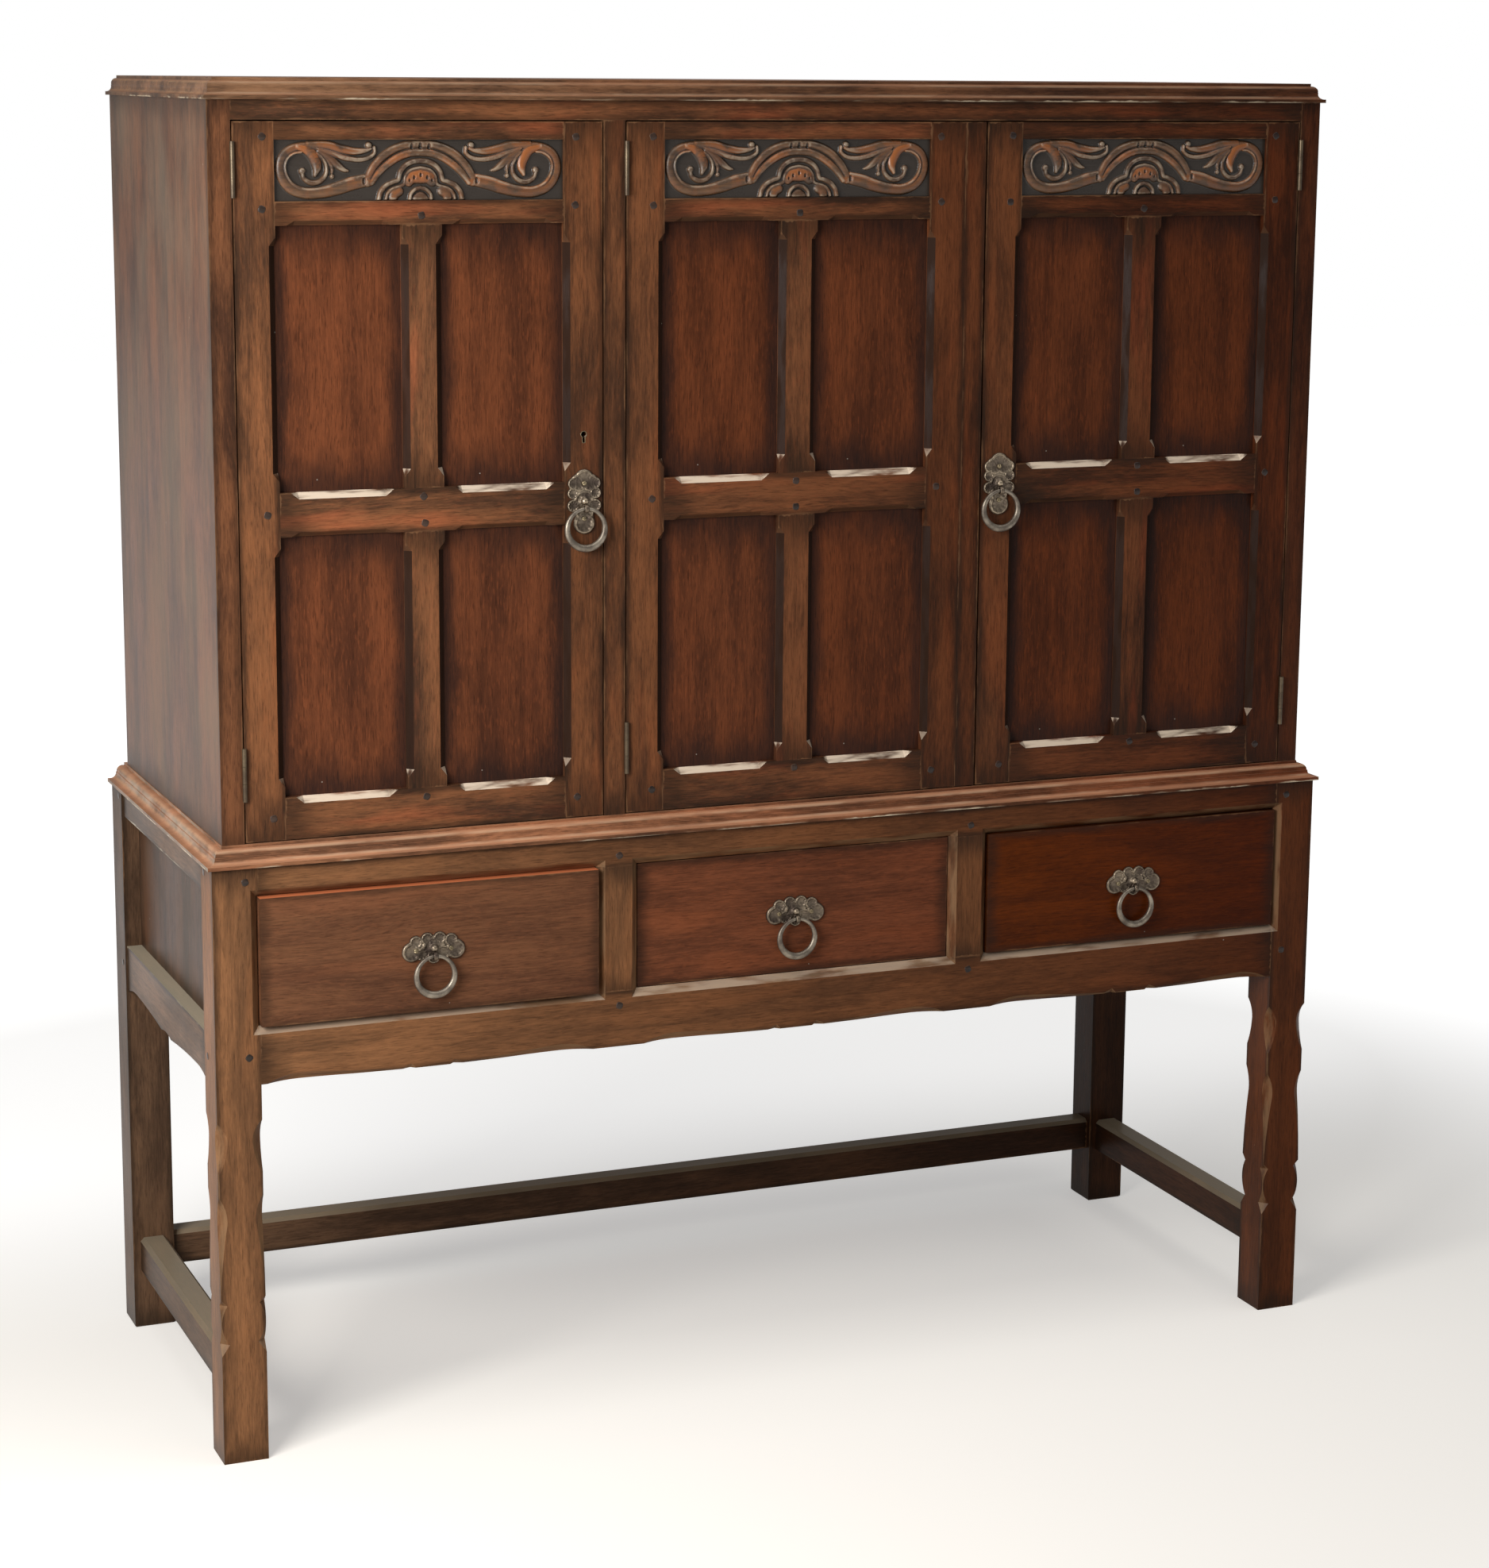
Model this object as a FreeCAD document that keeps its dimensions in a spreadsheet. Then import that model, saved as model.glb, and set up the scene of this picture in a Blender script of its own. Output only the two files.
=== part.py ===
import FreeCAD, Part
import os
import Sketcher

# A joined oak court cupboard: a case of three panelled doors on a stand with three drawers.
# +X is the right hand side seen from the front, +Y goes back and +Z up. All sizes are in millimetres.
# The origin is on the floor, in the middle of the cupboard's width and depth, pulls included.

SIZES = {
    # Stand
    "case_width": 1330.0,
    "case_depth": 466.0,
    "stand_overhang": 16.0,
    "leg_size": 50.0,
    "leg_height": 672.0,
    "foot_chamfer": 2.0,
    "stand_top_thickness": 22.0,
    "waist_moulding_width": 21.0,
    "stand_rail_thickness": 32.0,
    "front_top_rail_height": 33.4,
    "drawer_opening_height": 144.6,
    "front_apron_height": 64.0,
    "drawer_muntin_width": 48.3,
    "frame_chamfer": 8.0,
    # Gouged corners of the front legs
    "leg_wave_foot": 125.0,
    "leg_wave_height": 266.0,
    "leg_wave_depth": 11.0,
    # Gouged lower edge of the front rail, one wave for each drawer
    "apron_wave_length": 376.0,
    "apron_wave_depth": 9.5,
    # Sides and back of the stand
    "side_recess": 2.5,
    "side_rail_thickness": 25.5,
    "side_top_rail_height": 32.0,
    "side_apron_drop": 14.0,
    "side_apron_height": 56.0,
    "side_apron_hollow": 8.0,
    "stand_panel_thickness": 8.0,
    "groove_depth": 8.0,
    # Stretchers
    "stretcher_height": 41.0,
    "stretcher_width": 32.0,
    "stretcher_floor_gap": 73.0,
    "stretcher_chamfer": 4.5,
    # Case
    "case_height": 787.0,
    "side_board": 25.0,
    "partition_width": 25.0,
    "case_top_rail": 21.0,
    "case_floor_thickness": 18.0,
    "case_back_thickness": 12.0,
    "case_back_boards": 6.0,
    "cornice_thickness": 22.0,
    "cornice_inset": 9.0,
    "cornice_lip": 4.8,
    "shelf_thickness": 18.0,
    "shelf_setback": 30.0,
    "shelf_level": 352.0,
    "shelf_bearer": 20.0,
    # Doors
    "door_thickness": 22.0,
    "door_gap": 1.5,
    "door_back_gap": 2.0,
    "door_stile": 44.0,
    "door_muntin": 44.0,
    "door_top_rail": 19.0,
    "frieze_height": 63.5,
    "frieze_recess": 4.0,
    "frieze_rail": 25.0,
    "upper_panel_height": 280.5,
    "middle_rail": 47.0,
    "bottom_rail": 46.0,
    "door_panel_recess": 8.0,
    "door_panel_thickness": 7.0,
    "door_groove_depth": 7.0,
    "panel_chamfer": 7.0,
    "rail_chamfer": 5.0,
    "chamfer_setback": 12.0,
    "chamfer_stop": 9.0,
    # Hinges
    "hinge_height": 58.0,
    "hinge_top_drop": 51.0,
    "hinge_bottom_rise": 76.0,
    "hinge_radius": 2.5,
    "hinge_pin_radius": 1.2,
    "hinge_clearance": 0.3,
    "hinge_pin_clearance": 0.1,
    "hinge_leaf_thickness": 1.5,
    "hinge_leaf_width": 16.0,
    # Lock and its bolt
    "lock_width": 44.0,
    "lock_height": 60.0,
    "lock_depth": 14.0,
    "lock_setback": 4.0,
    "lock_rise": 428.0,
    "lock_bolt_length": 34.0,
    "lock_bolt_height": 14.0,
    "lock_bolt_thickness": 6.0,
    "lock_bolt_gap": 0.3,
    "lock_travel": 14.0,
    "keyhole_radius": 3.6,
    "keyhole_slot": 9.5,
    "keyhole_slot_width": 3.6,
    # Inside bolts of the second door
    "bolt_width": 8.0,
    "bolt_length": 90.0,
    "bolt_clearance": 0.1,
    "bolt_socket_clearance": 0.5,
    "bolt_travel": 12.0,
    "bolt_gap": 0.8,
    "bolt_knob_radius": 3.0,
    "bolt_knob_length": 12.0,
    "bolt_plate_width": 26.0,
    "bolt_plate_inset": 6.0,
    "bolt_plate_thickness": 2.0,
    "bolt_staple_width": 16.0,
    "bolt_staple_height": 12.0,
    # Ring pulls
    "pull_length": 74.0,
    "pull_width": 40.0,
    "pull_plate_thickness": 2.0,
    "pull_end_radius": 13.0,
    "pull_scallop_radius": 8.0,
    "pull_scallop_pitch": 15.0,
    "pull_core_length": 38.0,
    "pull_standoff": 6.0,
    "pull_drop": 8.0,
    "pull_boss_radius": 5.5,
    "pull_boss_height": 6.5,
    "eye_width": 5.0,
    "eye_wall": 1.6,
    "eye_clearance": 0.5,
    "ring_radius": 25.0,
    "ring_top_band": 4.2,
    "ring_bottom_band": 7.5,
    "ring_thickness": 4.2,
    "door_pull_rise": 355.0,
    # Drawers
    "drawer_gap": 1.0,
    "drawer_front_thickness": 20.0,
    "drawer_side_thickness": 12.0,
    "drawer_side_gap": 2.0,
    "drawer_running_gap": 0.3,
    "drawer_side_drop": 12.0,
    "drawer_bottom_thickness": 8.0,
    "drawer_bottom_rise": 10.0,
    "drawer_back_gap": 20.0,
    "drawer_one_out": 12.0,
    "drawer_three_out": 6.0,
    "runner_thickness": 20.0,
    "runner_bearing": 15.0,
    "guide_height": 20.0,
    "stop_height": 14.0,
    # How far every cutter runs past what it cuts
    "overrun": 5.0,
}

# The gouged corner of a front leg, from the foot up: height as a share of the wave, depth as a
# share of the gouge, and the point that the arc on the way there passes through, or None.
LEG_WAVE_SHARES = [
    (0.049, 0.82, None),
    (0.218, 0.64, (0.132, 0.06)),
    (0.244, 0.02, None),
    (0.564, 0.82, (0.430, 0.36)),
    (0.677, 0.14, (0.635, 0.62)),
    (0.778, 0.14, None),
    (0.906, 1.00, (0.832, 0.66)),
    (1.000, 0.00, (0.966, 0.68)),
]

# Half of one wave of the front rail, from its end to its middle, in the same way.
APRON_WAVE_SHARES = [
    (0.101, 1.00, (0.040, 0.64)),
    (0.261, 0.53, (0.175, 0.86)),
    (0.407, 0.21, (0.340, 0.33)),
    (0.434, 0.63, None),
    (0.447, 0.11, None),
]

# The sawn lower edge of the side rail, from its front end to its back end.
SIDE_APRON_SHARES = [
    (0.120, 1.00, (0.050, 0.72)),
    (0.440, 0.00, (0.300, 0.62)),
    (0.560, 0.00, (0.500, 0.38)),
    (0.880, 1.00, (0.700, 0.62)),
    (1.000, 0.00, (0.950, 0.72)),
]

# The edge moulding, from its top down: out as a share of its width, up as a share of its thickness.
MOULDING_SHARES = [
    (0.04, 1.00, None),
    (0.04, 0.86, None),
    (0.10, 0.86, None),
    (0.48, 0.52, (0.37, 0.78)),
    (0.52, 0.52, None),
    (0.88, 0.18, (0.62, 0.26)),
    (1.00, 0.18, None),
    (1.00, 0.00, None),
]

doc = FreeCAD.newDocument("CourtCupboard")
sheet = doc.addObject("Spreadsheet::Sheet", "Sizes")
for row, (name, value) in enumerate(SIZES.items(), start=1):
    sheet.set("A%d" % row, name)
    sheet.set("B%d" % row, repr(value))
    sheet.setAlias("B%d" % row, name)
doc.recompute()


class Length:
    """A length as an expression over the sheet, so that every object follows the cells."""

    def __init__(self, text):
        self.text = str(text)

    def __add__(self, other):
        return Length("(%s + %s)" % (self.text, as_length(other).text))

    def __sub__(self, other):
        return Length("(%s - %s)" % (self.text, as_length(other).text))

    def __mul__(self, factor):
        return Length("(%s * %s)" % (self.text, as_length(factor).text))

    def __truediv__(self, divisor):
        return Length("(%s / %s)" % (self.text, as_length(divisor).text))

    def __neg__(self):
        return Length("(0 - %s)" % self.text)

    def __float__(self):
        return float(sheet.evalExpression(self.text))


def as_length(value):
    """Gives a Length for a Length, or for a plain share, count or zero."""
    if isinstance(value, Length):
        return value
    return Length(repr(float(value)))


def size(name):
    """Gives the Length that follows one cell of the sheet."""
    if name not in SIZES:
        raise KeyError(name)
    return Length("Sizes." + name)


def diagonal(across, along):
    """Gives the Length across the corners of a rectangle."""
    return Length("sqrt((%s)^2 + (%s)^2)" % (as_length(across).text, as_length(along).text))


ZERO = as_length(0)
ROOT_TWO = Length("sqrt(2)")
X_AXIS = FreeCAD.Vector(1, 0, 0)
Y_AXIS = FreeCAD.Vector(0, 1, 0)
Z_AXIS = FreeCAD.Vector(0, 0, 1)
NODES = []


def bind(obj, prop, length):
    """Binds one property of an object to a length."""
    obj.setExpression(prop, as_length(length).text)


def place(obj, x, y, z, rotation=None):
    """Puts an object at a point that follows the sheet."""
    if rotation is not None:
        obj.Placement = FreeCAD.Placement(FreeCAD.Vector(), rotation)
    bind(obj, "Placement.Base.x", x)
    bind(obj, "Placement.Base.y", y)
    bind(obj, "Placement.Base.z", z)
    return obj


def node(obj, label):
    """Marks an object as one of the cupboard's sub-parts."""
    obj.Label = label
    NODES.append(obj)
    return obj


def box(x_range, y_range, z_range, name="Board"):
    """Makes a board between pairs of faces."""
    obj = doc.addObject("Part::Box", name)
    bind(obj, "Length", x_range[1] - x_range[0])
    bind(obj, "Width", y_range[1] - y_range[0])
    bind(obj, "Height", z_range[1] - z_range[0])
    return place(obj, x_range[0], y_range[0], z_range[0])


def span(start, length):
    """Gives the pair of faces of something that starts at one place and has a length."""
    return (start, start + length)


def about(middle, length):
    """Gives the pair of faces of something centred on one place."""
    return (middle - length / 2, middle + length / 2)


def rod(x, y, z, radius, length, direction, name="Rod"):
    """Makes a cylinder that starts at a point and runs along a direction."""
    obj = doc.addObject("Part::Cylinder", name)
    bind(obj, "Radius", radius)
    bind(obj, "Height", length)
    return place(obj, x, y, z, FreeCAD.Rotation(Z_AXIS, direction))


def fuse(pieces, name="Joined"):
    """Fuses pieces into one solid."""
    obj = doc.addObject("Part::MultiFuse", name)
    obj.Shapes = pieces
    obj.Refine = True
    return obj


def group(pieces, name="Group"):
    """Keeps pieces together as separate solids."""
    obj = doc.addObject("Part::Compound", name)
    obj.Links = pieces
    return obj


def cut(base, tools, name="Cut"):
    """Cuts tools from a base."""
    tool = tools[0] if len(tools) == 1 else group(tools, name + "Tools")
    obj = doc.addObject("Part::Cut", name)
    obj.Base = base
    obj.Tool = tool
    return obj


def bevel(x, y, z, along, into, depth, run, stop, name="Bevel"):
    """Makes the cutter of a stopped chamfer.

    The chamfer's arris starts at the point and runs along one axis. It goes into the wood along the
    other direction, halfway between the two faces, and runs out over the stop at each end.
    """
    obj = doc.addObject("Part::Wedge", name)
    deep = depth / ROOT_TWO
    bind(obj, "Ymin", -deep)
    bind(obj, "Ymax", deep)
    for low, high in (("Zmin", "Zmax"), ("Z2min", "Z2max")):
        bind(obj, low, -depth)
        bind(obj, high, depth)
    bind(obj, "Xmin", -stop)
    bind(obj, "Xmax", run + stop)
    bind(obj, "X2min", stop)
    bind(obj, "X2max", run - stop)
    rotation = FreeCAD.Rotation(along, into, along.cross(into), "XYZ")
    return place(obj, x, y, z, rotation)


def origin_plane(body, role):
    """Finds one of a body's own origin planes or axes."""
    return [item for item in body.Origin.OriginFeatures if item.Role == role][0]


def sketch_on(body, role, name, offset=None):
    """Starts a sketch on one of the body's origin planes."""
    sketch = body.newObject("Sketcher::SketchObject", name)
    sketch.AttachmentSupport = [(origin_plane(body, role), "")]
    sketch.MapMode = "FlatFace"
    if offset is not None:
        sketch.AttachmentOffset = offset
    return sketch


def pin_point(sketch, geometry, position, x, y):
    """Fixes a point of a sketch by two lengths from the origin."""
    for kind, length in (("DistanceX", x), ("DistanceY", y)):
        number = sketch.addConstraint(Sketcher.Constraint(kind, -1, 1, geometry, position, float(length)))
        sketch.setExpression("Constraints[%d]" % number, as_length(length).text)


def outline(sketch, start, steps):
    """Draws a line of edges from a start point.

    Each step is (x, y, via): a straight edge to the point, or with a via point an arc through it.
    The outline is closed when the last step returns to the start.
    """
    points = [start] + [(x, y) for x, y, via in steps]
    values = [FreeCAD.Vector(float(x), float(y), 0) for x, y in points]
    ends = []
    for number, (x, y, via) in enumerate(steps):
        first, last = values[number], values[number + 1]
        if via is None:
            index = sketch.addGeometry(Part.LineSegment(first, last))
            ends.append((index, 1, 2))
            continue
        middle = FreeCAD.Vector(float(via[0]), float(via[1]), 0)
        turn = (middle - first).cross(last - middle).z
        if turn > 0:
            index = sketch.addGeometry(Part.Arc(first, middle, last))
            ends.append((index, 1, 2))
        else:
            index = sketch.addGeometry(Part.Arc(last, middle, first))
            ends.append((index, 2, 1))
        guide = sketch.addGeometry(Part.Point(middle), True)
        pin_point(sketch, guide, 1, via[0], via[1])
        sketch.addConstraint(Sketcher.Constraint("PointOnObject", guide, 1, index))
    closed = (values[0] - values[-1]).Length == 0
    for number in range(len(ends) - 1):
        here, there = ends[number], ends[number + 1]
        sketch.addConstraint(Sketcher.Constraint("Coincident", here[0], here[2], there[0], there[1]))
    if closed:
        sketch.addConstraint(Sketcher.Constraint("Coincident", ends[-1][0], ends[-1][2], ends[0][0], ends[0][1]))
    for number, (x, y) in enumerate(points[:-1]):
        pin_point(sketch, ends[number][0], ends[number][1], x, y)
    if not closed:
        pin_point(sketch, ends[-1][0], ends[-1][2], *points[-1])
    return sketch


def rectangle(sketch, x_range, y_range):
    """Draws a closed rectangle."""
    left, right = x_range
    low, high = y_range
    steps = [(right, low, None), (right, high, None), (left, high, None), (left, low, None)]
    return outline(sketch, (left, low), steps)


def circle(sketch, x, y, radius):
    """Draws a circle."""
    centre = FreeCAD.Vector(float(x), float(y), 0)
    index = sketch.addGeometry(Part.Circle(centre, Z_AXIS, float(radius)))
    pin_point(sketch, index, 3, x, y)
    number = sketch.addConstraint(Sketcher.Constraint("Radius", index, float(radius)))
    sketch.setExpression("Constraints[%d]" % number, as_length(radius).text)
    return sketch


def pad(body, sketch, length, name="Pad", both_ways=False, backwards=False):
    """Pads a sketch by a length."""
    feature = body.newObject("PartDesign::Pad", name)
    feature.Profile = sketch
    bind(feature, "Length", length)
    feature.SideType = "Symmetric" if both_ways else "One side"
    feature.Reversed = backwards
    return feature


def pocket_both_ways(body, sketch, length, name="Gouge"):
    """Cuts a sketch to both sides of its plane."""
    feature = body.newObject("PartDesign::Pocket", name)
    feature.Profile = sketch
    bind(feature, "Length", length)
    feature.SideType = "Symmetric"
    return feature


# Places shared by several pieces

stand_width = size("case_width") + size("stand_overhang") * 2
stand_depth = size("case_depth") + size("stand_overhang") * 2
eye_hole = diagonal(size("ring_top_band"), size("ring_thickness")) / 2 + size("eye_clearance")
eye_radius = eye_hole + size("eye_wall")
pull_reach = size("pull_plate_thickness") + size("pull_standoff") + eye_radius
front_reach = size("drawer_one_out") - size("frame_chamfer") + pull_reach
stand_front = (front_reach - stand_depth) / 2
stand_back = stand_front + stand_depth
stand_left = -stand_width / 2
stand_right = stand_width / 2
case_front = stand_front + size("stand_overhang")
case_back = stand_back - size("stand_overhang")
case_left = -size("case_width") / 2
case_right = size("case_width") / 2
waist = size("leg_height") + size("stand_top_thickness")
case_top = waist + size("case_height")
opening_top = case_top - size("case_top_rail")
back_board_front = case_back - size("case_back_thickness")

leg_inner_left = stand_left + size("leg_size")
leg_inner_right = stand_right - size("leg_size")
leg_inner_front = stand_front + size("leg_size")
leg_inner_back = stand_back - size("leg_size")
drawer_top = size("leg_height") - size("front_top_rail_height")
drawer_base = drawer_top - size("drawer_opening_height")
apron_base = drawer_base - size("front_apron_height")
bay_width = (leg_inner_right - leg_inner_left - size("drawer_muntin_width") * 2) / 3
bay_pitch = bay_width + size("drawer_muntin_width")
bay_lefts = [leg_inner_left + bay_pitch * index for index in range(3)]

door_opening = (size("case_width") - size("side_board") * 2 - size("partition_width") * 2) / 3
door_pitch = door_opening + size("partition_width")
door_lefts = [case_left + size("side_board") + door_pitch * index for index in range(3)]


# Stand

def moulded_board(label, width, depth, thickness, moulding_width, x, y, z):
    """Makes a board with a moulded edge on its front and both sides.

    Width and depth are those of the flat top inside the moulding, and the point is its back left
    corner on the underside.
    """
    body = doc.addObject("PartDesign::Body", label)
    flat = sketch_on(body, "XY_Plane", "Flat")
    rectangle(flat, (ZERO, width), (-depth, ZERO))
    pad(body, flat, thickness, "Board")
    path = sketch_on(body, "XY_Plane", "Path")
    outline(path, (ZERO, ZERO), [(ZERO, -depth, None), (width, -depth, None), (width, ZERO, None)])
    profile = sketch_on(body, "XZ_Plane", "Profile")
    steps = [(ZERO, thickness, None)]
    for out, up, via in MOULDING_SHARES:
        through = None
        if via is not None:
            through = (-moulding_width * via[0], thickness * via[1])
        steps.append((-moulding_width * out, thickness * up, through))
    steps.append((ZERO, ZERO, None))
    outline(profile, (ZERO, ZERO), steps)
    pipe = body.newObject("PartDesign::AdditivePipe", "Moulding")
    pipe.Profile = profile
    pipe.Spine = (path, [])
    pipe.Transition = "Right corner"
    body.Tip = pipe
    place(body, x, y, z)
    return node(body, label)


moulded_board(
    "stand_top",
    size("case_width"),
    size("case_depth") + size("stand_overhang"),
    size("stand_top_thickness"),
    size("waist_moulding_width"),
    case_left,
    stand_back,
    size("leg_height"),
)


def front_leg(x, name):
    """Makes a front leg with four gouged corners, standing at a middle in x."""
    body = doc.addObject("PartDesign::Body", name)
    square = sketch_on(body, "XY_Plane", "Square")
    half = size("leg_size") / 2
    rectangle(square, (-half, half), (-half, half))
    pad(body, square, size("leg_height"), "Post")
    turned = FreeCAD.Placement(FreeCAD.Vector(), FreeCAD.Rotation(Y_AXIS, 45))
    wave = sketch_on(body, "XZ_Plane", "Wave", turned)
    corner = half * ROOT_TWO
    outside = corner + size("overrun")
    foot = size("leg_wave_foot")

    def at(up, deep):
        return (corner - size("leg_wave_depth") * deep / ROOT_TWO, foot + size("leg_wave_height") * up)

    steps = [(*at(0, 0), None)]
    for up, deep, via in LEG_WAVE_SHARES:
        steps.append((*at(up, deep), at(*via) if via else None))
    steps.append((outside, foot + size("leg_wave_height"), None))
    steps.append((outside, foot, None))
    outline(wave, (outside, foot), steps)
    gouge = pocket_both_ways(body, wave, size("leg_size"))
    corners = body.newObject("PartDesign::PolarPattern", "Corners")
    corners.Originals = [gouge]
    corners.Axis = (origin_plane(body, "Z_Axis"), [""])
    corners.Angle = 360
    corners.Occurrences = 4
    body.Tip = corners
    return place(body, x, stand_front + half, ZERO)


def drawer_splay(left):
    """Makes the cutter of the mitred chamfers round one drawer opening."""
    chamfer = size("frame_chamfer")
    cutter = doc.addObject("Part::Wedge", "Splay")
    bind(cutter, "Ymin", -chamfer)
    bind(cutter, "Ymax", chamfer)
    bind(cutter, "Xmin", -chamfer * 2)
    bind(cutter, "Xmax", bay_width + chamfer * 2)
    bind(cutter, "Zmin", -chamfer * 2)
    bind(cutter, "Zmax", size("drawer_opening_height") + chamfer * 2)
    bind(cutter, "X2min", ZERO)
    bind(cutter, "X2max", bay_width)
    bind(cutter, "Z2min", ZERO)
    bind(cutter, "Z2max", size("drawer_opening_height"))
    return place(cutter, left, stand_front, drawer_base)


splays = [drawer_splay(left) for left in bay_lefts]
leg_middle = size("leg_size") / 2
left_leg = front_leg(stand_left + leg_middle, "LeftLeg")
right_leg = front_leg(stand_right - leg_middle, "RightLeg")
front_legs = group([cut(left_leg, [splays[0]]), cut(right_leg, [splays[2]])])
node(front_legs, "front_legs")


def back_leg(x_range):
    """Makes a plain back leg with an eased foot."""
    post = box(x_range, (leg_inner_back, stand_back), (ZERO, size("leg_height")))
    ease = size("foot_chamfer")
    run = size("leg_size")
    low = ZERO
    cutters = [
        bevel(x_range[0], leg_inner_back, low, X_AXIS, FreeCAD.Vector(0, 1, 1), ease, run, ZERO),
        bevel(x_range[0], stand_back, low, X_AXIS, FreeCAD.Vector(0, -1, 1), ease, run, ZERO),
        bevel(x_range[0], leg_inner_back, low, Y_AXIS, FreeCAD.Vector(1, 0, 1), ease, run, ZERO),
        bevel(x_range[1], leg_inner_back, low, Y_AXIS, FreeCAD.Vector(-1, 0, 1), ease, run, ZERO),
    ]
    return cut(post, cutters)


back_legs = group([back_leg((stand_left, leg_inner_left)), back_leg((leg_inner_right, stand_right))])
node(back_legs, "back_legs")

rail_back = stand_front + size("stand_rail_thickness")
top_rail = box((leg_inner_left, leg_inner_right), (stand_front, rail_back), (drawer_top, size("leg_height")))
node(cut(top_rail, splays), "front_top_rail")

muntin_boards = [
    box(span(bay_lefts[index] + bay_width, size("drawer_muntin_width")), (stand_front, rail_back),
        (drawer_base, drawer_top))
    for index in range(2)
]
node(cut(group(muntin_boards), splays), "drawer_muntins")


def front_apron():
    """Makes the rail under the drawers, with a gouged wave below each drawer."""
    body = doc.addObject("PartDesign::Body", "ApronBlank")
    section = sketch_on(body, "YZ_Plane", "Section")
    rectangle(section, (ZERO, size("stand_rail_thickness")), (ZERO, size("front_apron_height")))
    pad(body, section, leg_inner_right - leg_inner_left, "Rail", both_ways=True)
    turned = FreeCAD.Placement(FreeCAD.Vector(), FreeCAD.Rotation(X_AXIS, 45))
    wave = sketch_on(body, "XY_Plane", "Wave", turned)
    middle = -bay_pitch
    length = size("apron_wave_length")

    def at(along, deep):
        return (middle + length * (along - 0.5), size("apron_wave_depth") * deep / ROOT_TWO)

    steps = [(*at(0, 0), None)]
    for along, deep, via in APRON_WAVE_SHARES:
        steps.append((*at(along, deep), at(*via) if via else None))
    back = [(1 - along, deep, via) for along, deep, via in reversed(APRON_WAVE_SHARES)]
    steps.append((*at(back[0][0], back[0][1]), None))
    for number in range(1, len(back) + 1):
        via = back[number - 1][2]
        end = at(back[number][0], back[number][1]) if number < len(back) else at(1, 0)
        steps.append((*end, at(1 - via[0], via[1]) if via else None))
    outside = -size("overrun")
    steps.append((middle + length / 2, outside, None))
    steps.append((middle - length / 2, outside, None))
    outline(wave, (middle - length / 2, outside), steps)
    gouge = pocket_both_ways(body, wave, size("apron_wave_depth") * 2)
    waves = body.newObject("PartDesign::LinearPattern", "Waves")
    waves.Originals = [gouge]
    waves.Direction = (origin_plane(body, "X_Axis"), [""])
    bind(waves, "Length", bay_pitch * 2)
    waves.Occurrences = 3
    body.Tip = waves
    return place(body, ZERO, stand_front, apron_base)


node(cut(front_apron(), splays), "front_apron")


def side_apron(x, name, backwards):
    """Makes the sawn lower rail of one side, from a face in x."""
    body = doc.addObject("PartDesign::Body", name)
    side = sketch_on(body, "YZ_Plane", "Sawn")
    length = leg_inner_back - leg_inner_front
    steps = []
    for along, deep, via in SIDE_APRON_SHARES:
        through = None
        if via is not None:
            through = (length * via[0], size("side_apron_hollow") * via[1])
        steps.append((length * along, size("side_apron_hollow") * deep, through))
    height = size("side_apron_height")
    steps += [(length, height, None), (ZERO, height, None), (ZERO, ZERO, None)]
    outline(side, (ZERO, ZERO), steps)
    pad(body, side, size("side_rail_thickness"), "Rail", backwards=backwards)
    return place(body, x, leg_inner_front, side_apron_base)


side_apron_top = drawer_base - size("side_apron_drop")
side_apron_base = side_apron_top - size("side_apron_height")
side_rail_base = size("leg_height") - size("side_top_rail_height")
side_reach = (leg_inner_front, leg_inner_back)
groove = size("groove_depth")


inner_side = size("side_recess") + size("side_rail_thickness")


def panel_x(outer, sign):
    """Gives the faces of a side panel, flush with the backs of its rails, from the side's outer face."""
    far = outer + inner_side * sign
    near = far - size("stand_panel_thickness") * sign
    return (near, far) if sign > 0 else (far, near)


def rail_x(outer, sign):
    """Gives the faces of a side rail from the side's outer face."""
    near = outer + size("side_recess") * sign
    far = near + size("side_rail_thickness") * sign
    return (near, far) if sign > 0 else (far, near)


side_panels = [
    box(panel_x(outer, sign), side_reach, (side_apron_top - groove, side_rail_base + groove))
    for outer, sign in ((stand_left, 1), (stand_right, -1))
]
node(group(side_panels), "side_panels")
side_rails = [
    cut(box(rail_x(outer, sign), side_reach, (side_rail_base, size("leg_height"))), [panel])
    for outer, sign, panel in ((stand_left, 1, side_panels[0]), (stand_right, -1, side_panels[1]))
]
node(group(side_rails), "side_top_rails")
side_aprons = [
    cut(side_apron(stand_left + size("side_recess"), "LeftApron", False), [side_panels[0]]),
    cut(side_apron(stand_right - size("side_recess"), "RightApron", True), [side_panels[1]]),
]
node(group(side_aprons), "side_aprons")

back_rail_front = stand_back - size("side_recess") - size("stand_rail_thickness")
back_rail_y = span(back_rail_front, size("stand_rail_thickness"))
back_reach = (leg_inner_left, leg_inner_right)
back_panel_y = about(back_rail_front + size("stand_rail_thickness") / 2, size("stand_panel_thickness"))
back_panel = box(back_reach, back_panel_y, (drawer_base - groove, drawer_top + groove))
node(back_panel, "back_panel")
back_rails = [
    cut(box(back_reach, back_rail_y, (drawer_top, size("leg_height"))), [back_panel]),
    cut(box(back_reach, back_rail_y, (apron_base, drawer_base)), [back_panel]),
]
node(group(back_rails), "back_rails")


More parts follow.
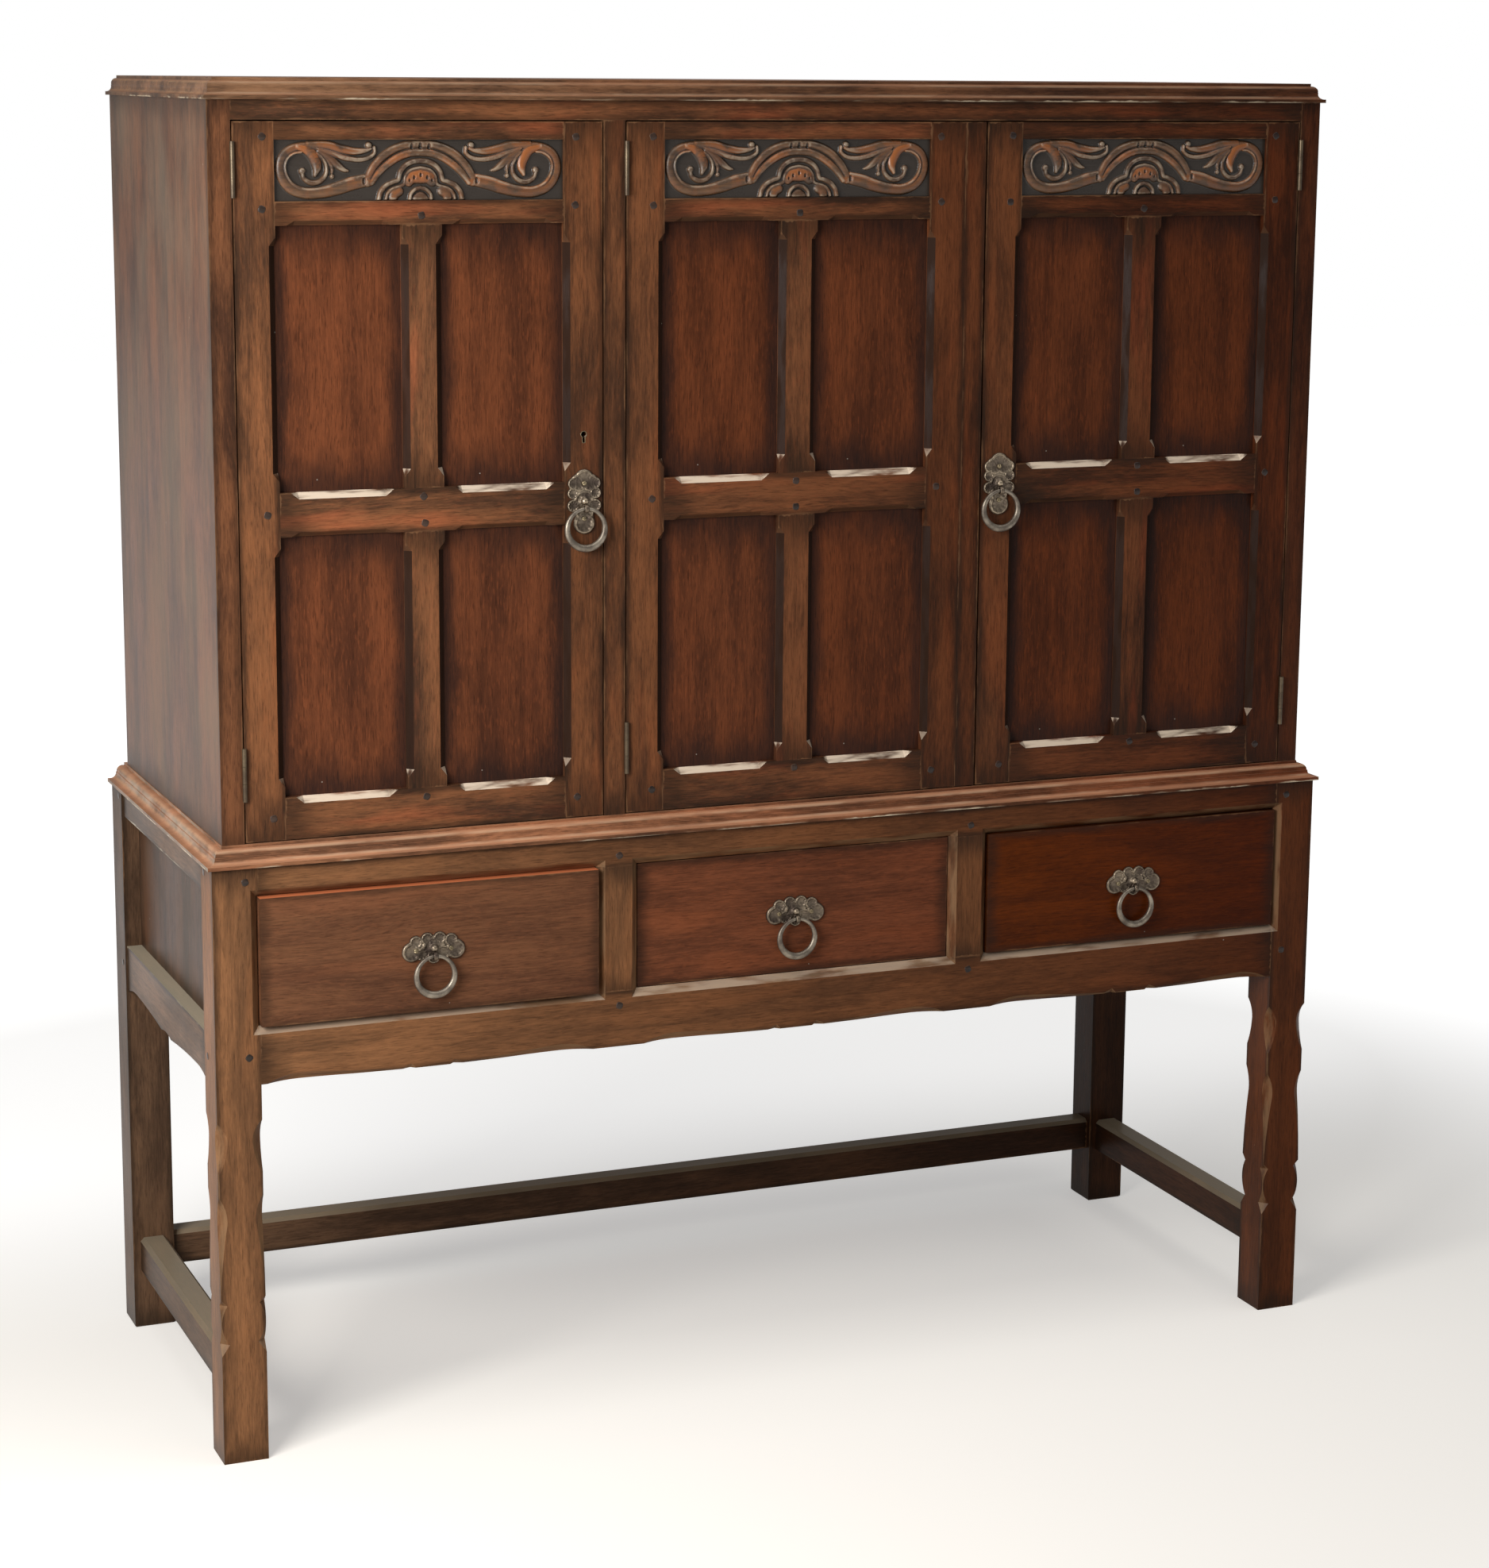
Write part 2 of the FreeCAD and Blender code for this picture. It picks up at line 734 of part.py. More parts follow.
def stretcher(length, name):
    """Makes a stretcher along X with two chamfered upper edges."""
    body = doc.addObject("PartDesign::Body", name)
    half = size("stretcher_width") / 2
    high = size("stretcher_height")
    chamfer = size("stretcher_chamfer")
    section = sketch_on(body, "YZ_Plane", "Section")
    steps = [
        (half, ZERO, None),
        (half, high - chamfer, None),
        (half - chamfer, high, None),
        (chamfer - half, high, None),
        (-half, high - chamfer, None),
        (-half, ZERO, None),
    ]
    outline(section, (-half, ZERO), steps)
    pad(body, section, length, "Bar", both_ways=True)
    return body


stretcher_z = size("stretcher_floor_gap")
side_length = leg_inner_back - leg_inner_front
middle_y = (leg_inner_front + leg_inner_back) / 2
quarter = FreeCAD.Rotation(Z_AXIS, 90)
stretchers = [
    place(stretcher(side_length, "LeftStretcher"), stand_left + leg_middle, middle_y, stretcher_z, quarter),
    place(stretcher(side_length, "RightStretcher"), stand_right - leg_middle, middle_y, stretcher_z, quarter),
    place(stretcher(leg_inner_right - leg_inner_left, "BackStretcher"), ZERO, stand_back - leg_middle, stretcher_z),
]
node(group(stretchers), "stretchers")

# Drawer runners, guides and stops

runner_z = (drawer_base - size("runner_thickness"), drawer_base)
guide_z = span(drawer_base, size("guide_height"))
bearing = size("runner_bearing")
runner_pieces = []
for edge, inner, sign in ((stand_left, leg_inner_left, 1), (stand_right, leg_inner_right, -1)):
    wall = edge + inner_side * sign
    tip = inner + bearing * sign
    x_runner = (wall, tip) if sign > 0 else (tip, wall)
    x_guide = (wall, inner) if sign > 0 else (inner, wall)
    runner_pieces.append(box(x_runner, side_reach, runner_z, "Runner"))
    runner_pieces.append(box(x_guide, side_reach, guide_z, "Guide"))
for index in range(2):
    left = bay_lefts[index] + bay_width
    right = left + size("drawer_muntin_width")
    runner_pieces.append(box((left - bearing, right + bearing), (rail_back, back_rail_front), runner_z, "Runner"))
    runner_pieces.append(box((left, right), (rail_back, back_rail_front), guide_z, "Guide"))
closed_back = back_rail_front - size("drawer_back_gap")
stop_z = span(drawer_base, size("stop_height"))
stop_y = (closed_back + size("drawer_running_gap"), back_rail_front)
for left in bay_lefts:
    for edge in (left, left + bay_width - bearing):
        runner_pieces.append(box(span(edge, bearing), stop_y, stop_z, "Stop"))
node(group(runner_pieces), "drawer_runners")

# Case

case_z = (waist, case_top)
side_boards = [
    box(span(case_left, size("side_board")), (case_front, case_back), case_z),
    box((case_right - size("side_board"), case_right), (case_front, case_back), case_z),
]
partition_x = span(door_lefts[0] + door_opening, size("partition_width"))
partition_board = box(partition_x, (case_front, back_board_front), (waist, opening_top))
inner_left = case_left + size("side_board")
inner_right = case_right - size("side_board")
top_board = box((inner_left, inner_right), (case_front, back_board_front), (opening_top, case_top))
floor_front = case_front + size("door_thickness") + size("door_back_gap")
floor_y = (floor_front, back_board_front)
floor_z = span(waist, size("case_floor_thickness"))
floor_boards = [box((inner_left, partition_x[0]), floor_y, floor_z), box((partition_x[1], inner_right), floor_y, floor_z)]
board_width = (inner_right - inner_left) / size("case_back_boards")
back_boards = [
    box(span(inner_left + board_width * index, board_width), (back_board_front, case_back), case_z)
    for index in range(int(SIZES["case_back_boards"]))
]
node(group(back_boards), "case_back")
shelf_y = (case_front + size("door_thickness") + size("shelf_setback"), back_board_front)
shelf_base = waist + size("shelf_level") - size("shelf_thickness")
bearer_z = (shelf_base - size("shelf_bearer"), shelf_base)
shelf_pieces = []
for left, right in ((inner_left, partition_x[0]), (partition_x[1], inner_right)):
    shelf_pieces.append(box((left, right), shelf_y, span(shelf_base, size("shelf_thickness")), "Shelf"))
    shelf_pieces.append(box(span(left, size("shelf_bearer")), shelf_y, bearer_z, "Bearer"))
    shelf_pieces.append(box((right - size("shelf_bearer"), right), shelf_y, bearer_z, "Bearer"))
node(group(shelf_pieces), "shelves")

moulded_board(
    "cornice",
    size("case_width") - size("cornice_inset") * 2,
    size("case_depth") - size("cornice_inset"),
    size("cornice_thickness"),
    size("cornice_inset") + size("cornice_lip"),
    case_left + size("cornice_inset"),
    case_back,
    case_top,
)


# Hinges

hinge_axis_y = case_front - size("hinge_radius") - size("hinge_clearance")
hinge_levels = [opening_top - size("hinge_top_drop"), waist + size("hinge_bottom_rise")]


def hinge(axis_x, level, sign):
    """Makes the two leaves of a butt hinge.

    The door lies on the side of the axis that the sign gives. The case leaf carries the end
    knuckles and the pin, and the door leaf the middle knuckle.
    """
    radius = size("hinge_radius")
    gap = size("hinge_clearance")
    third = size("hinge_height") / 3
    base = level - size("hinge_height") / 2
    leaf_y = span(hinge_axis_y + radius + gap, size("hinge_leaf_width"))
    web_y = (hinge_axis_y, leaf_y[0])

    def leaf_x(side):
        near = axis_x + gap * side
        far = near + size("hinge_leaf_thickness") * side
        return (near, far) if side > 0 else (far, near)

    case_pieces = [box(leaf_x(-sign), leaf_y, span(base, size("hinge_height")))]
    case_pieces.append(rod(axis_x, hinge_axis_y, base, size("hinge_pin_radius"), size("hinge_height"), Z_AXIS))
    for start in (base, base + third * 2):
        case_pieces.append(box(leaf_x(-sign), web_y, span(start, third)))
        case_pieces.append(rod(axis_x, hinge_axis_y, start, radius, third, Z_AXIS))
    middle = base + third + gap
    height = third - gap * 2
    bore = size("hinge_pin_radius") + size("hinge_pin_clearance")
    hole = rod(axis_x, hinge_axis_y, base, bore, size("hinge_height"), Z_AXIS)
    solid = fuse([
        box(leaf_x(sign), leaf_y, span(base, size("hinge_height"))),
        box(leaf_x(sign), web_y, span(middle, height)),
        rod(axis_x, hinge_axis_y, middle, radius, height, Z_AXIS),
    ])
    return fuse(case_pieces), cut(solid, [hole])


hinge_axes = [door_lefts[0], door_lefts[1], door_lefts[2] + door_opening]
hinge_signs = [1, 1, -1]
case_leaves = []
door_leaves = []
for axis_base, sign in zip(hinge_axes, hinge_signs):
    axis_x = axis_base + size("door_gap") / 2 * sign
    pairs = [hinge(axis_x, level, sign) for level in hinge_levels]
    case_leaves.append([pair[0] for pair in pairs])
    door_leaves.append([pair[1] for pair in pairs])
node(group(case_leaves[0] + case_leaves[1] + case_leaves[2]), "case_hinge_leaves")


# Lock and inside bolts, set out from the doors that carry them

door_back = case_front + size("door_thickness")
door_base = waist + size("door_gap")
door_head = opening_top - size("door_gap")
door_edges = [
    (door_lefts[0] + size("door_gap"), door_lefts[0] + door_opening - size("door_gap")),
    (door_lefts[1] + size("door_gap"), door_lefts[1] + door_opening),
    (door_lefts[2] + size("door_gap"), door_lefts[2] + door_opening - size("door_gap")),
]
strip_x = (door_edges[1][1], door_lefts[2] - size("door_gap") / 2)

lock_right = door_edges[0][1] - size("lock_setback")
lock_z = about(waist + size("lock_rise"), size("lock_height"))
bolt_z = about(waist + size("lock_rise"), size("lock_bolt_height"))
lock_y = span(door_back, size("lock_depth"))
bolt_y = about(door_back + size("lock_depth") / 2, size("lock_bolt_thickness"))
lock_body = box((lock_right - size("lock_width"), lock_right), lock_y, lock_z)


def grown(pair, gap):
    """Moves a pair of faces apart by a gap on each side."""
    return (pair[0] - gap, pair[1] + gap)


bolt_gap = size("lock_bolt_gap")
channel_left = lock_right - size("lock_bolt_length") - bolt_gap
channel = box((channel_left, lock_right + size("overrun")), grown(bolt_y, bolt_gap), grown(bolt_z, bolt_gap))
lock_bolt = box((lock_right - size("lock_bolt_length"), lock_right), bolt_y, bolt_z)
strike_end = lock_right + size("lock_travel") + bolt_gap * 2
strike = box((partition_x[0] - size("overrun"), strike_end), grown(bolt_y, bolt_gap), grown(bolt_z, bolt_gap))
node(cut(lock_body, [channel]), "door_1_lock")
node(lock_bolt, "door_1_lock_bolt")
node(cut(partition_board, [strike] + case_leaves[1]), "case_partition")

bolt_x = strip_x[1] - size("bolt_plate_inset") - size("bolt_plate_width") / 2
bolt_centre_y = door_back + size("bolt_plate_thickness") * 2 + size("bolt_width") / 2
bolt_ends = [(door_head, 1), (floor_z[1] + size("bolt_gap"), -1)]


def inside_bolt(end, sign):
    """Makes an inside bolt that leaves the door at an end, upwards or downwards.

    It gives the bolt, its plate with two staples, and the cutter of the hole that it shoots into.
    """
    wide = size("bolt_width")
    length = size("bolt_length")
    gap = size("bolt_clearance")
    tip = end - size("bolt_gap") * sign
    tail = tip - length * sign
    low = tail if sign > 0 else tip
    shaft = box(about(bolt_x, wide), about(bolt_centre_y, wide), span(low, length), "Bolt")
    knob_z = (tip + tail) / 2
    knob = rod(bolt_x, bolt_centre_y, knob_z, size("bolt_knob_radius"), size("bolt_knob_length"), Y_AXIS)
    staple = size("bolt_staple_height")
    plate_z = about(knob_z, length - size("bolt_travel") - size("bolt_gap") * 2)
    plate = box(about(bolt_x, size("bolt_plate_width")), span(door_back, size("bolt_plate_thickness")), plate_z)
    staple_y = (door_back, bolt_centre_y + wide / 2 + gap + size("bolt_plate_thickness"))
    staples = [
        box(about(bolt_x, size("bolt_staple_width")), staple_y, span(plate_z[0], staple)),
        box(about(bolt_x, size("bolt_staple_width")), staple_y, (plate_z[1] - staple, plate_z[1])),
    ]
    clear = wide + gap * 2
    bore = box(about(bolt_x, clear), about(bolt_centre_y, clear), grown(span(low, length), size("overrun")), "Way")
    depth = size("bolt_travel") + size("bolt_gap")
    start = end - size("overrun") if sign > 0 else end - depth
    loose = wide + size("bolt_socket_clearance") * 2
    socket = box(about(bolt_x, loose), about(bolt_centre_y, loose), span(start, depth + size("overrun")), "Socket")
    return fuse([shaft, knob]), cut(fuse([plate] + staples), [bore]), socket


upper = inside_bolt(bolt_ends[0][0], 1)
lower = inside_bolt(bolt_ends[1][0], -1)
node(upper[0], "door_2_upper_bolt")
node(lower[0], "door_2_lower_bolt")
node(group([upper[1], lower[1]]), "door_2_bolt_staples")
node(cut(top_board, [upper[2]]), "case_top_board")
node(cut(group(floor_boards), [lower[2]]), "case_floor")
node(cut(group(side_boards), case_leaves[0] + case_leaves[2]), "case_sides")


# Doors

frieze_top = door_head - size("door_top_rail")
frieze_base = frieze_top - size("frieze_height")
upper_top = frieze_base - size("frieze_rail")
upper_base = upper_top - size("upper_panel_height")
lower_top = upper_base - size("middle_rail")
lower_base = door_base + size("bottom_rail")
door_y = (case_front, door_back)
panel_y = span(case_front + size("door_panel_recess"), size("door_panel_thickness"))


def door(number, edges, leaves, extra_cuts):
    """Makes the stiles, rails and panels of one door between two edges in x."""
    name = "door_%d_" % number
    left, right = edges
    stile = size("door_stile")
    inner = (left + stile, right - stile)
    middle = (inner[0] + inner[1]) / 2
    muntin_x = about(middle, size("door_muntin"))
    tongue = size("door_groove_depth")
    columns = [(inner[0], muntin_x[0]), (muntin_x[1], inner[1])]
    rows = [(upper_base, upper_top), (lower_base, lower_top)]
    panels = [box(grown(column, tongue), panel_y, grown(row, tongue)) for column in columns for row in rows]
    frieze_y = (case_front + size("frieze_recess"), panel_y[1])
    frieze = box(grown(inner, tongue), frieze_y, grown((frieze_base, frieze_top), tongue))
    stiles = [box((left, inner[0]), door_y, (door_base, door_head)), box((inner[1], right), door_y, (door_base, door_head))]
    rails = [
        box(inner, door_y, (frieze_top, door_head)),
        box(inner, door_y, (upper_top, frieze_base)),
        box(inner, door_y, (lower_top, upper_base)),
        box(inner, door_y, (door_base, lower_base)),
    ]
    muntins = [box(muntin_x, door_y, row) for row in rows]
    setback = size("chamfer_setback")
    stop = size("chamfer_stop")
    chamfer = size("panel_chamfer")
    under = size("rail_chamfer")
    bevels = []
    for column in columns:
        for row in rows:
            run_z = row[1] - row[0] - setback * 2
            run_x = column[1] - column[0] - setback * 2
            low = row[0] + setback
            start = column[0] + setback
            front = case_front
            bevels.append(bevel(column[0], front, low, Z_AXIS, FreeCAD.Vector(-1, 1, 0), chamfer, run_z, stop))
            bevels.append(bevel(column[1], front, low, Z_AXIS, FreeCAD.Vector(1, 1, 0), chamfer, run_z, stop))
            bevels.append(bevel(start, front, row[0], X_AXIS, FreeCAD.Vector(0, 1, -1), chamfer, run_x, stop))
            bevels.append(bevel(start, front, row[1], X_AXIS, FreeCAD.Vector(0, 1, 1), under, run_x, stop))
    tools = panels + [frieze] + bevels
    node(cut(group(stiles), tools + leaves + extra_cuts), name + "stiles")
    node(cut(group(rails + muntins), tools), name + "rails")
    node(group(panels), name + "panels")
    node(frieze, name + "frieze")
    node(group(leaves), name + "hinge_leaves")


keyhole_x = (door_edges[0][1] - size("door_stile") / 2)
keyhole_z = waist + size("lock_rise")
keyhole = [
    rod(keyhole_x, case_front - size("overrun"), keyhole_z, size("keyhole_radius"),
        size("door_thickness") + size("overrun"), Y_AXIS),
    box(about(keyhole_x, size("keyhole_slot_width")), (case_front - size("overrun"), door_back),
        (keyhole_z - size("keyhole_slot"), keyhole_z)),
]
door(1, door_edges[0], door_leaves[0], keyhole)
door(2, door_edges[1], door_leaves[1], [])
door(3, door_edges[2], door_leaves[2], [])
node(box(strip_x, door_y, (door_base, door_head)), "door_2_closing_strip")


# Ring pulls

def ring(x, y, z, label):
    """Makes a ring that hangs from a point, thinner at the top than at the bottom."""
    body = doc.addObject("PartDesign::Body", label)
    face = sketch_on(body, "XZ_Plane", "Band")
    outer = size("ring_radius")
    inner = outer - (size("ring_top_band") + size("ring_bottom_band")) / 2
    circle(face, ZERO, size("ring_top_band") / 2 - outer, outer)
    circle(face, ZERO, -size("ring_top_band") / 2 - inner, inner)
    pad(body, face, size("ring_thickness"), "Band", both_ways=True)
    place(body, x, y, z)
    return node(body, label)


def pull(x, y, z, upright, label):
    """Makes a pull plate with its boss and eye, on a face in y, and the ring that hangs in the eye."""
    thick = size("pull_plate_thickness")
    end = size("pull_length") / 2 - size("pull_end_radius")
    side = size("pull_width") / 2 - size("pull_scallop_radius")
    pitch = size("pull_scallop_pitch")
    discs = [(end, ZERO, size("pull_end_radius")), (-end, ZERO, size("pull_end_radius"))]
    for column in (-1, 0, 1):
        for row in (-1, 1):
            discs.append((pitch * column, side * row, size("pull_scallop_radius")))
    pieces = []
    for along, across, radius in discs:
        dx, dz = (across, along) if upright else (along, across)
        pieces.append(rod(x + dx, y - thick, z + dz, radius, thick, Y_AXIS))
    core = size("pull_core_length") / 2
    core_x, core_z = (side, core) if upright else (core, side)
    pieces.append(box((x - core_x, x + core_x), (y - thick, y), (z - core_z, z + core_z)))
    face = y - thick
    eye_y = face - size("pull_standoff")
    eye_z = z - size("pull_drop")
    pieces.append(rod(x, face, z, size("pull_boss_radius"), size("pull_boss_height"), -Y_AXIS, "Boss"))
    eye_x = x - size("eye_width") / 2
    pieces.append(box(span(eye_x, size("eye_width")), (eye_y, face), (eye_z, z)))
    pieces.append(rod(eye_x, eye_y, eye_z, eye_radius, size("eye_width"), X_AXIS))
    hole_x = eye_x - size("overrun")
    hole = rod(hole_x, eye_y, eye_z, eye_hole, size("eye_width") + size("overrun") * 2, X_AXIS)
    node(cut(fuse(pieces), [hole]), label + "_pull")
    ring(x, eye_y, eye_z, label + "_ring")


pull_z = waist + size("door_pull_rise")
pull(door_edges[0][1] - size("door_stile") / 2, case_front, pull_z, True, "door_1")
pull(door_edges[2][0] + size("door_stile") / 2, case_front, pull_z, True, "door_3")


# Drawers

def drawer(number, left, out):
    """Makes a drawer and its pull in the opening that starts at a left edge, pulled out a little."""
    name = "drawer_%d" % number
    gap = size("drawer_gap")
    front = stand_front + size("frame_chamfer") - out
    front_back = front + size("drawer_front_thickness")
    back = closed_back - out
    face = box((left + gap, left + bay_width - gap), (front, front_back), (drawer_base + gap, drawer_top - gap))
    node(face, name + "_front")
    side_gap = size("drawer_side_gap")
    thick = size("drawer_side_thickness")
    outer = (left + side_gap, left + bay_width - side_gap)
    base = drawer_base + size("drawer_running_gap")
    side_z = (base, drawer_top - size("drawer_side_drop"))
    inside = (outer[0] + thick, outer[1] - thick)
    bottom_z = span(base + size("drawer_bottom_rise"), size("drawer_bottom_thickness"))
    pieces = [
        box((outer[0], inside[0]), (front_back, back), side_z),
        box((inside[1], outer[1]), (front_back, back), side_z),
        box(inside, (back - thick, back), (bottom_z[1], side_z[1])),
        box(inside, (front_back, back), bottom_z),
    ]
    node(group(pieces), name + "_box")
    middle_z = (drawer_base + drawer_top) / 2
    pull(left + bay_width / 2, front, middle_z, False, name)


drawer(1, bay_lefts[0], size("drawer_one_out"))
drawer(2, bay_lefts[1], ZERO)
drawer(3, bay_lefts[2], size("drawer_three_out"))

doc.recompute()
for item in doc.Objects:
    if "Invalid" in item.State or "Error" in item.State:
        raise RuntimeError("%s failed: %s" % (item.Label, item.State))
for item in NODES:
    if item.Shape.isNull() or not item.Shape.isValid() or not item.Shape.Solids:
        raise RuntimeError("%s has no valid shape" % item.Label)
os.makedirs("parts", exist_ok=True)
for item in NODES:
    item.Shape.exportStep("parts/%s.step" % item.Label)
print("wrote %d sub-parts" % len(NODES))
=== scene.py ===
"""The looks of a joined oak court cupboard: finishes, carving, pegs and pull plates over its CAD frame."""

import logging
import math
import random
from dataclasses import dataclass, field
from enum import Enum
from typing import Callable, Iterable, Sequence

import bpy
import numpy as np
from mathutils import Matrix, Vector


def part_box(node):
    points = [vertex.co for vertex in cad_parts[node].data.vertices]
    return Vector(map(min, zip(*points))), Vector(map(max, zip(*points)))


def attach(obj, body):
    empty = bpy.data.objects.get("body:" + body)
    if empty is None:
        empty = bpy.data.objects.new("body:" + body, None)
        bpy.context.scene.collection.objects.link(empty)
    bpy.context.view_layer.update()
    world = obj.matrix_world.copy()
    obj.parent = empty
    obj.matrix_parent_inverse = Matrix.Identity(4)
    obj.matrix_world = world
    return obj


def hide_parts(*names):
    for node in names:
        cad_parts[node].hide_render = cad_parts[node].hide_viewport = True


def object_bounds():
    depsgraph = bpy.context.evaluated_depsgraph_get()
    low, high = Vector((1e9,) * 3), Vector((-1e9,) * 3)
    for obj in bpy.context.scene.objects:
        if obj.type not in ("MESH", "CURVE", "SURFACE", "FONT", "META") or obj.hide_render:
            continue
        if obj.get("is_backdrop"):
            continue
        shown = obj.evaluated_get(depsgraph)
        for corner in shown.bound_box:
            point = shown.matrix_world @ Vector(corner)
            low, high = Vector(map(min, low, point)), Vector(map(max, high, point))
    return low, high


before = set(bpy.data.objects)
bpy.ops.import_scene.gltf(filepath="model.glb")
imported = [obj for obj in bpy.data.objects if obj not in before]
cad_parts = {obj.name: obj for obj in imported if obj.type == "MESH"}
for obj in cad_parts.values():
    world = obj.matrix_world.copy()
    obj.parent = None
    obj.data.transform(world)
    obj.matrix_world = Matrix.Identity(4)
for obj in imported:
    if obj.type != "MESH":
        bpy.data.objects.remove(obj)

log = logging.getLogger("court_cupboard")

MM = 0.001
DOORS = (1, 2, 3)
RIGHT = Vector((1, 0, 0))
UP = Vector((0, 0, 1))
OUT = Vector((0, -1, 0))
GRAIN_DEPTH = 0.3 * MM
GRIT_DEPTH = 0.2 * MM
RIM_CROWDING = 0.8

Colour = tuple[float, float, float, float]
BLACK: Colour = (0, 0, 0, 1)
WHITE: Colour = (1, 1, 1, 1)


def seen(red: float, green: float, blue: float) -> Colour:
    """A colour as the eye reads it on a screen.

    Args:
        red, green, blue: The screen values, from 0 to 255.

    Returns:
        The same colour in linear light, with full opacity.
    """
    def linear(value: float) -> float:
        """One channel in linear light."""
        share = value / 255
        return share / 12.92 if share <= 0.04045 else ((share + 0.055) / 1.055) ** 2.4

    return (linear(red), linear(green), linear(blue), 1)


# Node trees

def arithmetic(operation: str, swapped: bool = False) -> Callable[["Signal", object], "Signal"]:
    """Makes a method that does one kind of arithmetic.

    Args:
        operation: What the Math node does.
        swapped: Whether the other value comes first.

    Returns:
        The method, which takes a signal and the other value.
    """
    def apply(signal: "Signal", other: object) -> "Signal":
        """The result of one Math node."""
        values = (other, signal) if swapped else (signal, other)
        node = signal.wiring.add("ShaderNodeMath", dict(enumerate(values)), operation=operation)
        return Signal(signal.wiring, node.outputs[0])

    return apply


@dataclass(frozen=True)
class Signal:
    """An output of a node. Those that are numbers can be added, multiplied and compared."""

    wiring: "Wiring"
    socket: bpy.types.NodeSocket

    __add__ = arithmetic("ADD")
    __mul__ = arithmetic("MULTIPLY")
    __sub__ = arithmetic("SUBTRACT")
    __rsub__ = arithmetic("SUBTRACT", swapped=True)
    __truediv__ = arithmetic("DIVIDE")
    least = arithmetic("MINIMUM")
    most = arithmetic("MAXIMUM")


class Wiring:
    """Short ways to add nodes to one tree and join them."""

    def __init__(self, tree: bpy.types.NodeTree) -> None:
        """Args:
            tree: The material's or group's tree that the nodes go into.
        """
        self.tree = tree

    def feed(self, socket: bpy.types.NodeSocket, value: object) -> None:
        """Joins a socket to a signal, or sets its own value."""
        if isinstance(value, Signal):
            self.tree.links.new(value.socket, socket)
        else:
            socket.default_value = value

    def add(self, kind: str, inputs: dict | None = None, **settings: object) -> bpy.types.Node:
        """Adds one node.

        Args:
            kind: The node's type.
            inputs: Values or signals for its inputs, by name or place.
            settings: The node's own options.

        Returns:
            The new node.
        """
        node = self.tree.nodes.new(kind)
        for name, value in settings.items():
            setattr(node, name, value)
        for key, value in (inputs or {}).items():
            self.feed(node.inputs[key], value)
        return node

    def outputs(self, kind: str, inputs: dict | None = None, **settings: object) -> dict[str, Signal]:
        """Adds one node and gives its signals by name. See Wiring.add."""
        node = self.add(kind, inputs, **settings)
        return {output.name: Signal(self, output) for output in node.outputs}

    def vector(self, operation: str, *values: object) -> Signal:
        """The vector that a Vector Math node gives over these values."""
        return self.outputs("ShaderNodeVectorMath", dict(enumerate(values)), operation=operation)["Vector"]

    def scaled(self, vector: object, scale: object) -> Signal:
        """A vector or a colour times a number."""
        return self.outputs("ShaderNodeVectorMath", {0: vector, "Scale": scale}, operation="SCALE")["Vector"]

    def split(self, vector: object) -> list[Signal]:
        """The three numbers of a vector."""
        return list(self.outputs("ShaderNodeSeparateXYZ", {0: vector}).values())

    def mix(self, share: object, low: object, high: object) -> Signal:
        """A colour between two others, at a share from 0 to 1 of the way to the second."""
        node = self.add("ShaderNodeMix", {0: share, 6: low, 7: high}, data_type="RGBA")
        return Signal(self, node.outputs[2])

    def between(self, value: object, low: object, high: object) -> Signal:
        """Rises smoothly from 0 at low to 1 at high."""
        inputs = {"Value": value, "From Min": low, "From Max": high}
        node = self.add("ShaderNodeMapRange", inputs, interpolation_type="SMOOTHSTEP")
        return Signal(self, node.outputs[0])

    def noise(
        self, place: Signal, waves: Sequence[float], detail: float = 3, roughness: float = 0.55
    ) -> Signal:
        """Soft noise over a place.

        Args:
            place: The point in metres.
            waves: How many waves there are to a metre along each axis.
            detail: How many finer layers are added.
            roughness: How strong the finer layers are.

        Returns:
            The noise's value, around a half.
        """
        stretched = self.vector("MULTIPLY", place, waves)
        inputs = {"Vector": stretched, "Scale": 1, "Detail": detail, "Roughness": roughness}
        return Signal(self, self.add("ShaderNodeTexNoise", inputs).outputs[0])

    def attribute(self, name: str, output: str = "Fac") -> Signal:
        """One of the mesh's own attributes, as a number or as another output of its node."""
        return self.outputs("ShaderNodeAttribute", attribute_type="GEOMETRY", attribute_name=name)[output]


class Effect:
    """A shader node group that several finishes use, built once."""

    name: str = ""
    takes: dict[str, tuple[str, object]] = {}
    gives: dict[str, str] = {}
    kinds = {"value": "NodeSocketFloat", "colour": "NodeSocketColor", "vector": "NodeSocketVector"}

    def __init__(self) -> None:
        """Makes the group's sockets and wires it."""
        self.tree = bpy.data.node_groups.new(self.name, "ShaderNodeTree")
        for name, (kind, start) in self.takes.items():
            socket = self.tree.interface.new_socket(name, in_out="INPUT", socket_type=self.kinds[kind])
            if start is not None:
                socket.default_value = start
        for name, kind in self.gives.items():
            self.tree.interface.new_socket(name, in_out="OUTPUT", socket_type=self.kinds[kind])
        wiring = Wiring(self.tree)
        given = wiring.outputs("NodeGroupInput")
        wiring.add("NodeGroupOutput", self.wire(wiring, given))

    def wire(self, wiring: Wiring, given: dict[str, Signal]) -> dict[str, Signal]:
        """Builds what is inside the group.

        Args:
            wiring: The group's own tree.
            given: The group's inputs.

        Returns:
            The signal for each output, by name.
        """
        raise NotImplementedError

    def use(self, wiring: Wiring, inputs: dict[str, object]) -> dict[str, Signal]:
        """Places the group in a material.

        Args:
            wiring: The material's tree.
            inputs: Values or signals for the group's inputs, by name.

        Returns:
            The placed group's outputs.
        """
        return wiring.outputs("ShaderNodeGroup", inputs, node_tree=self.tree)


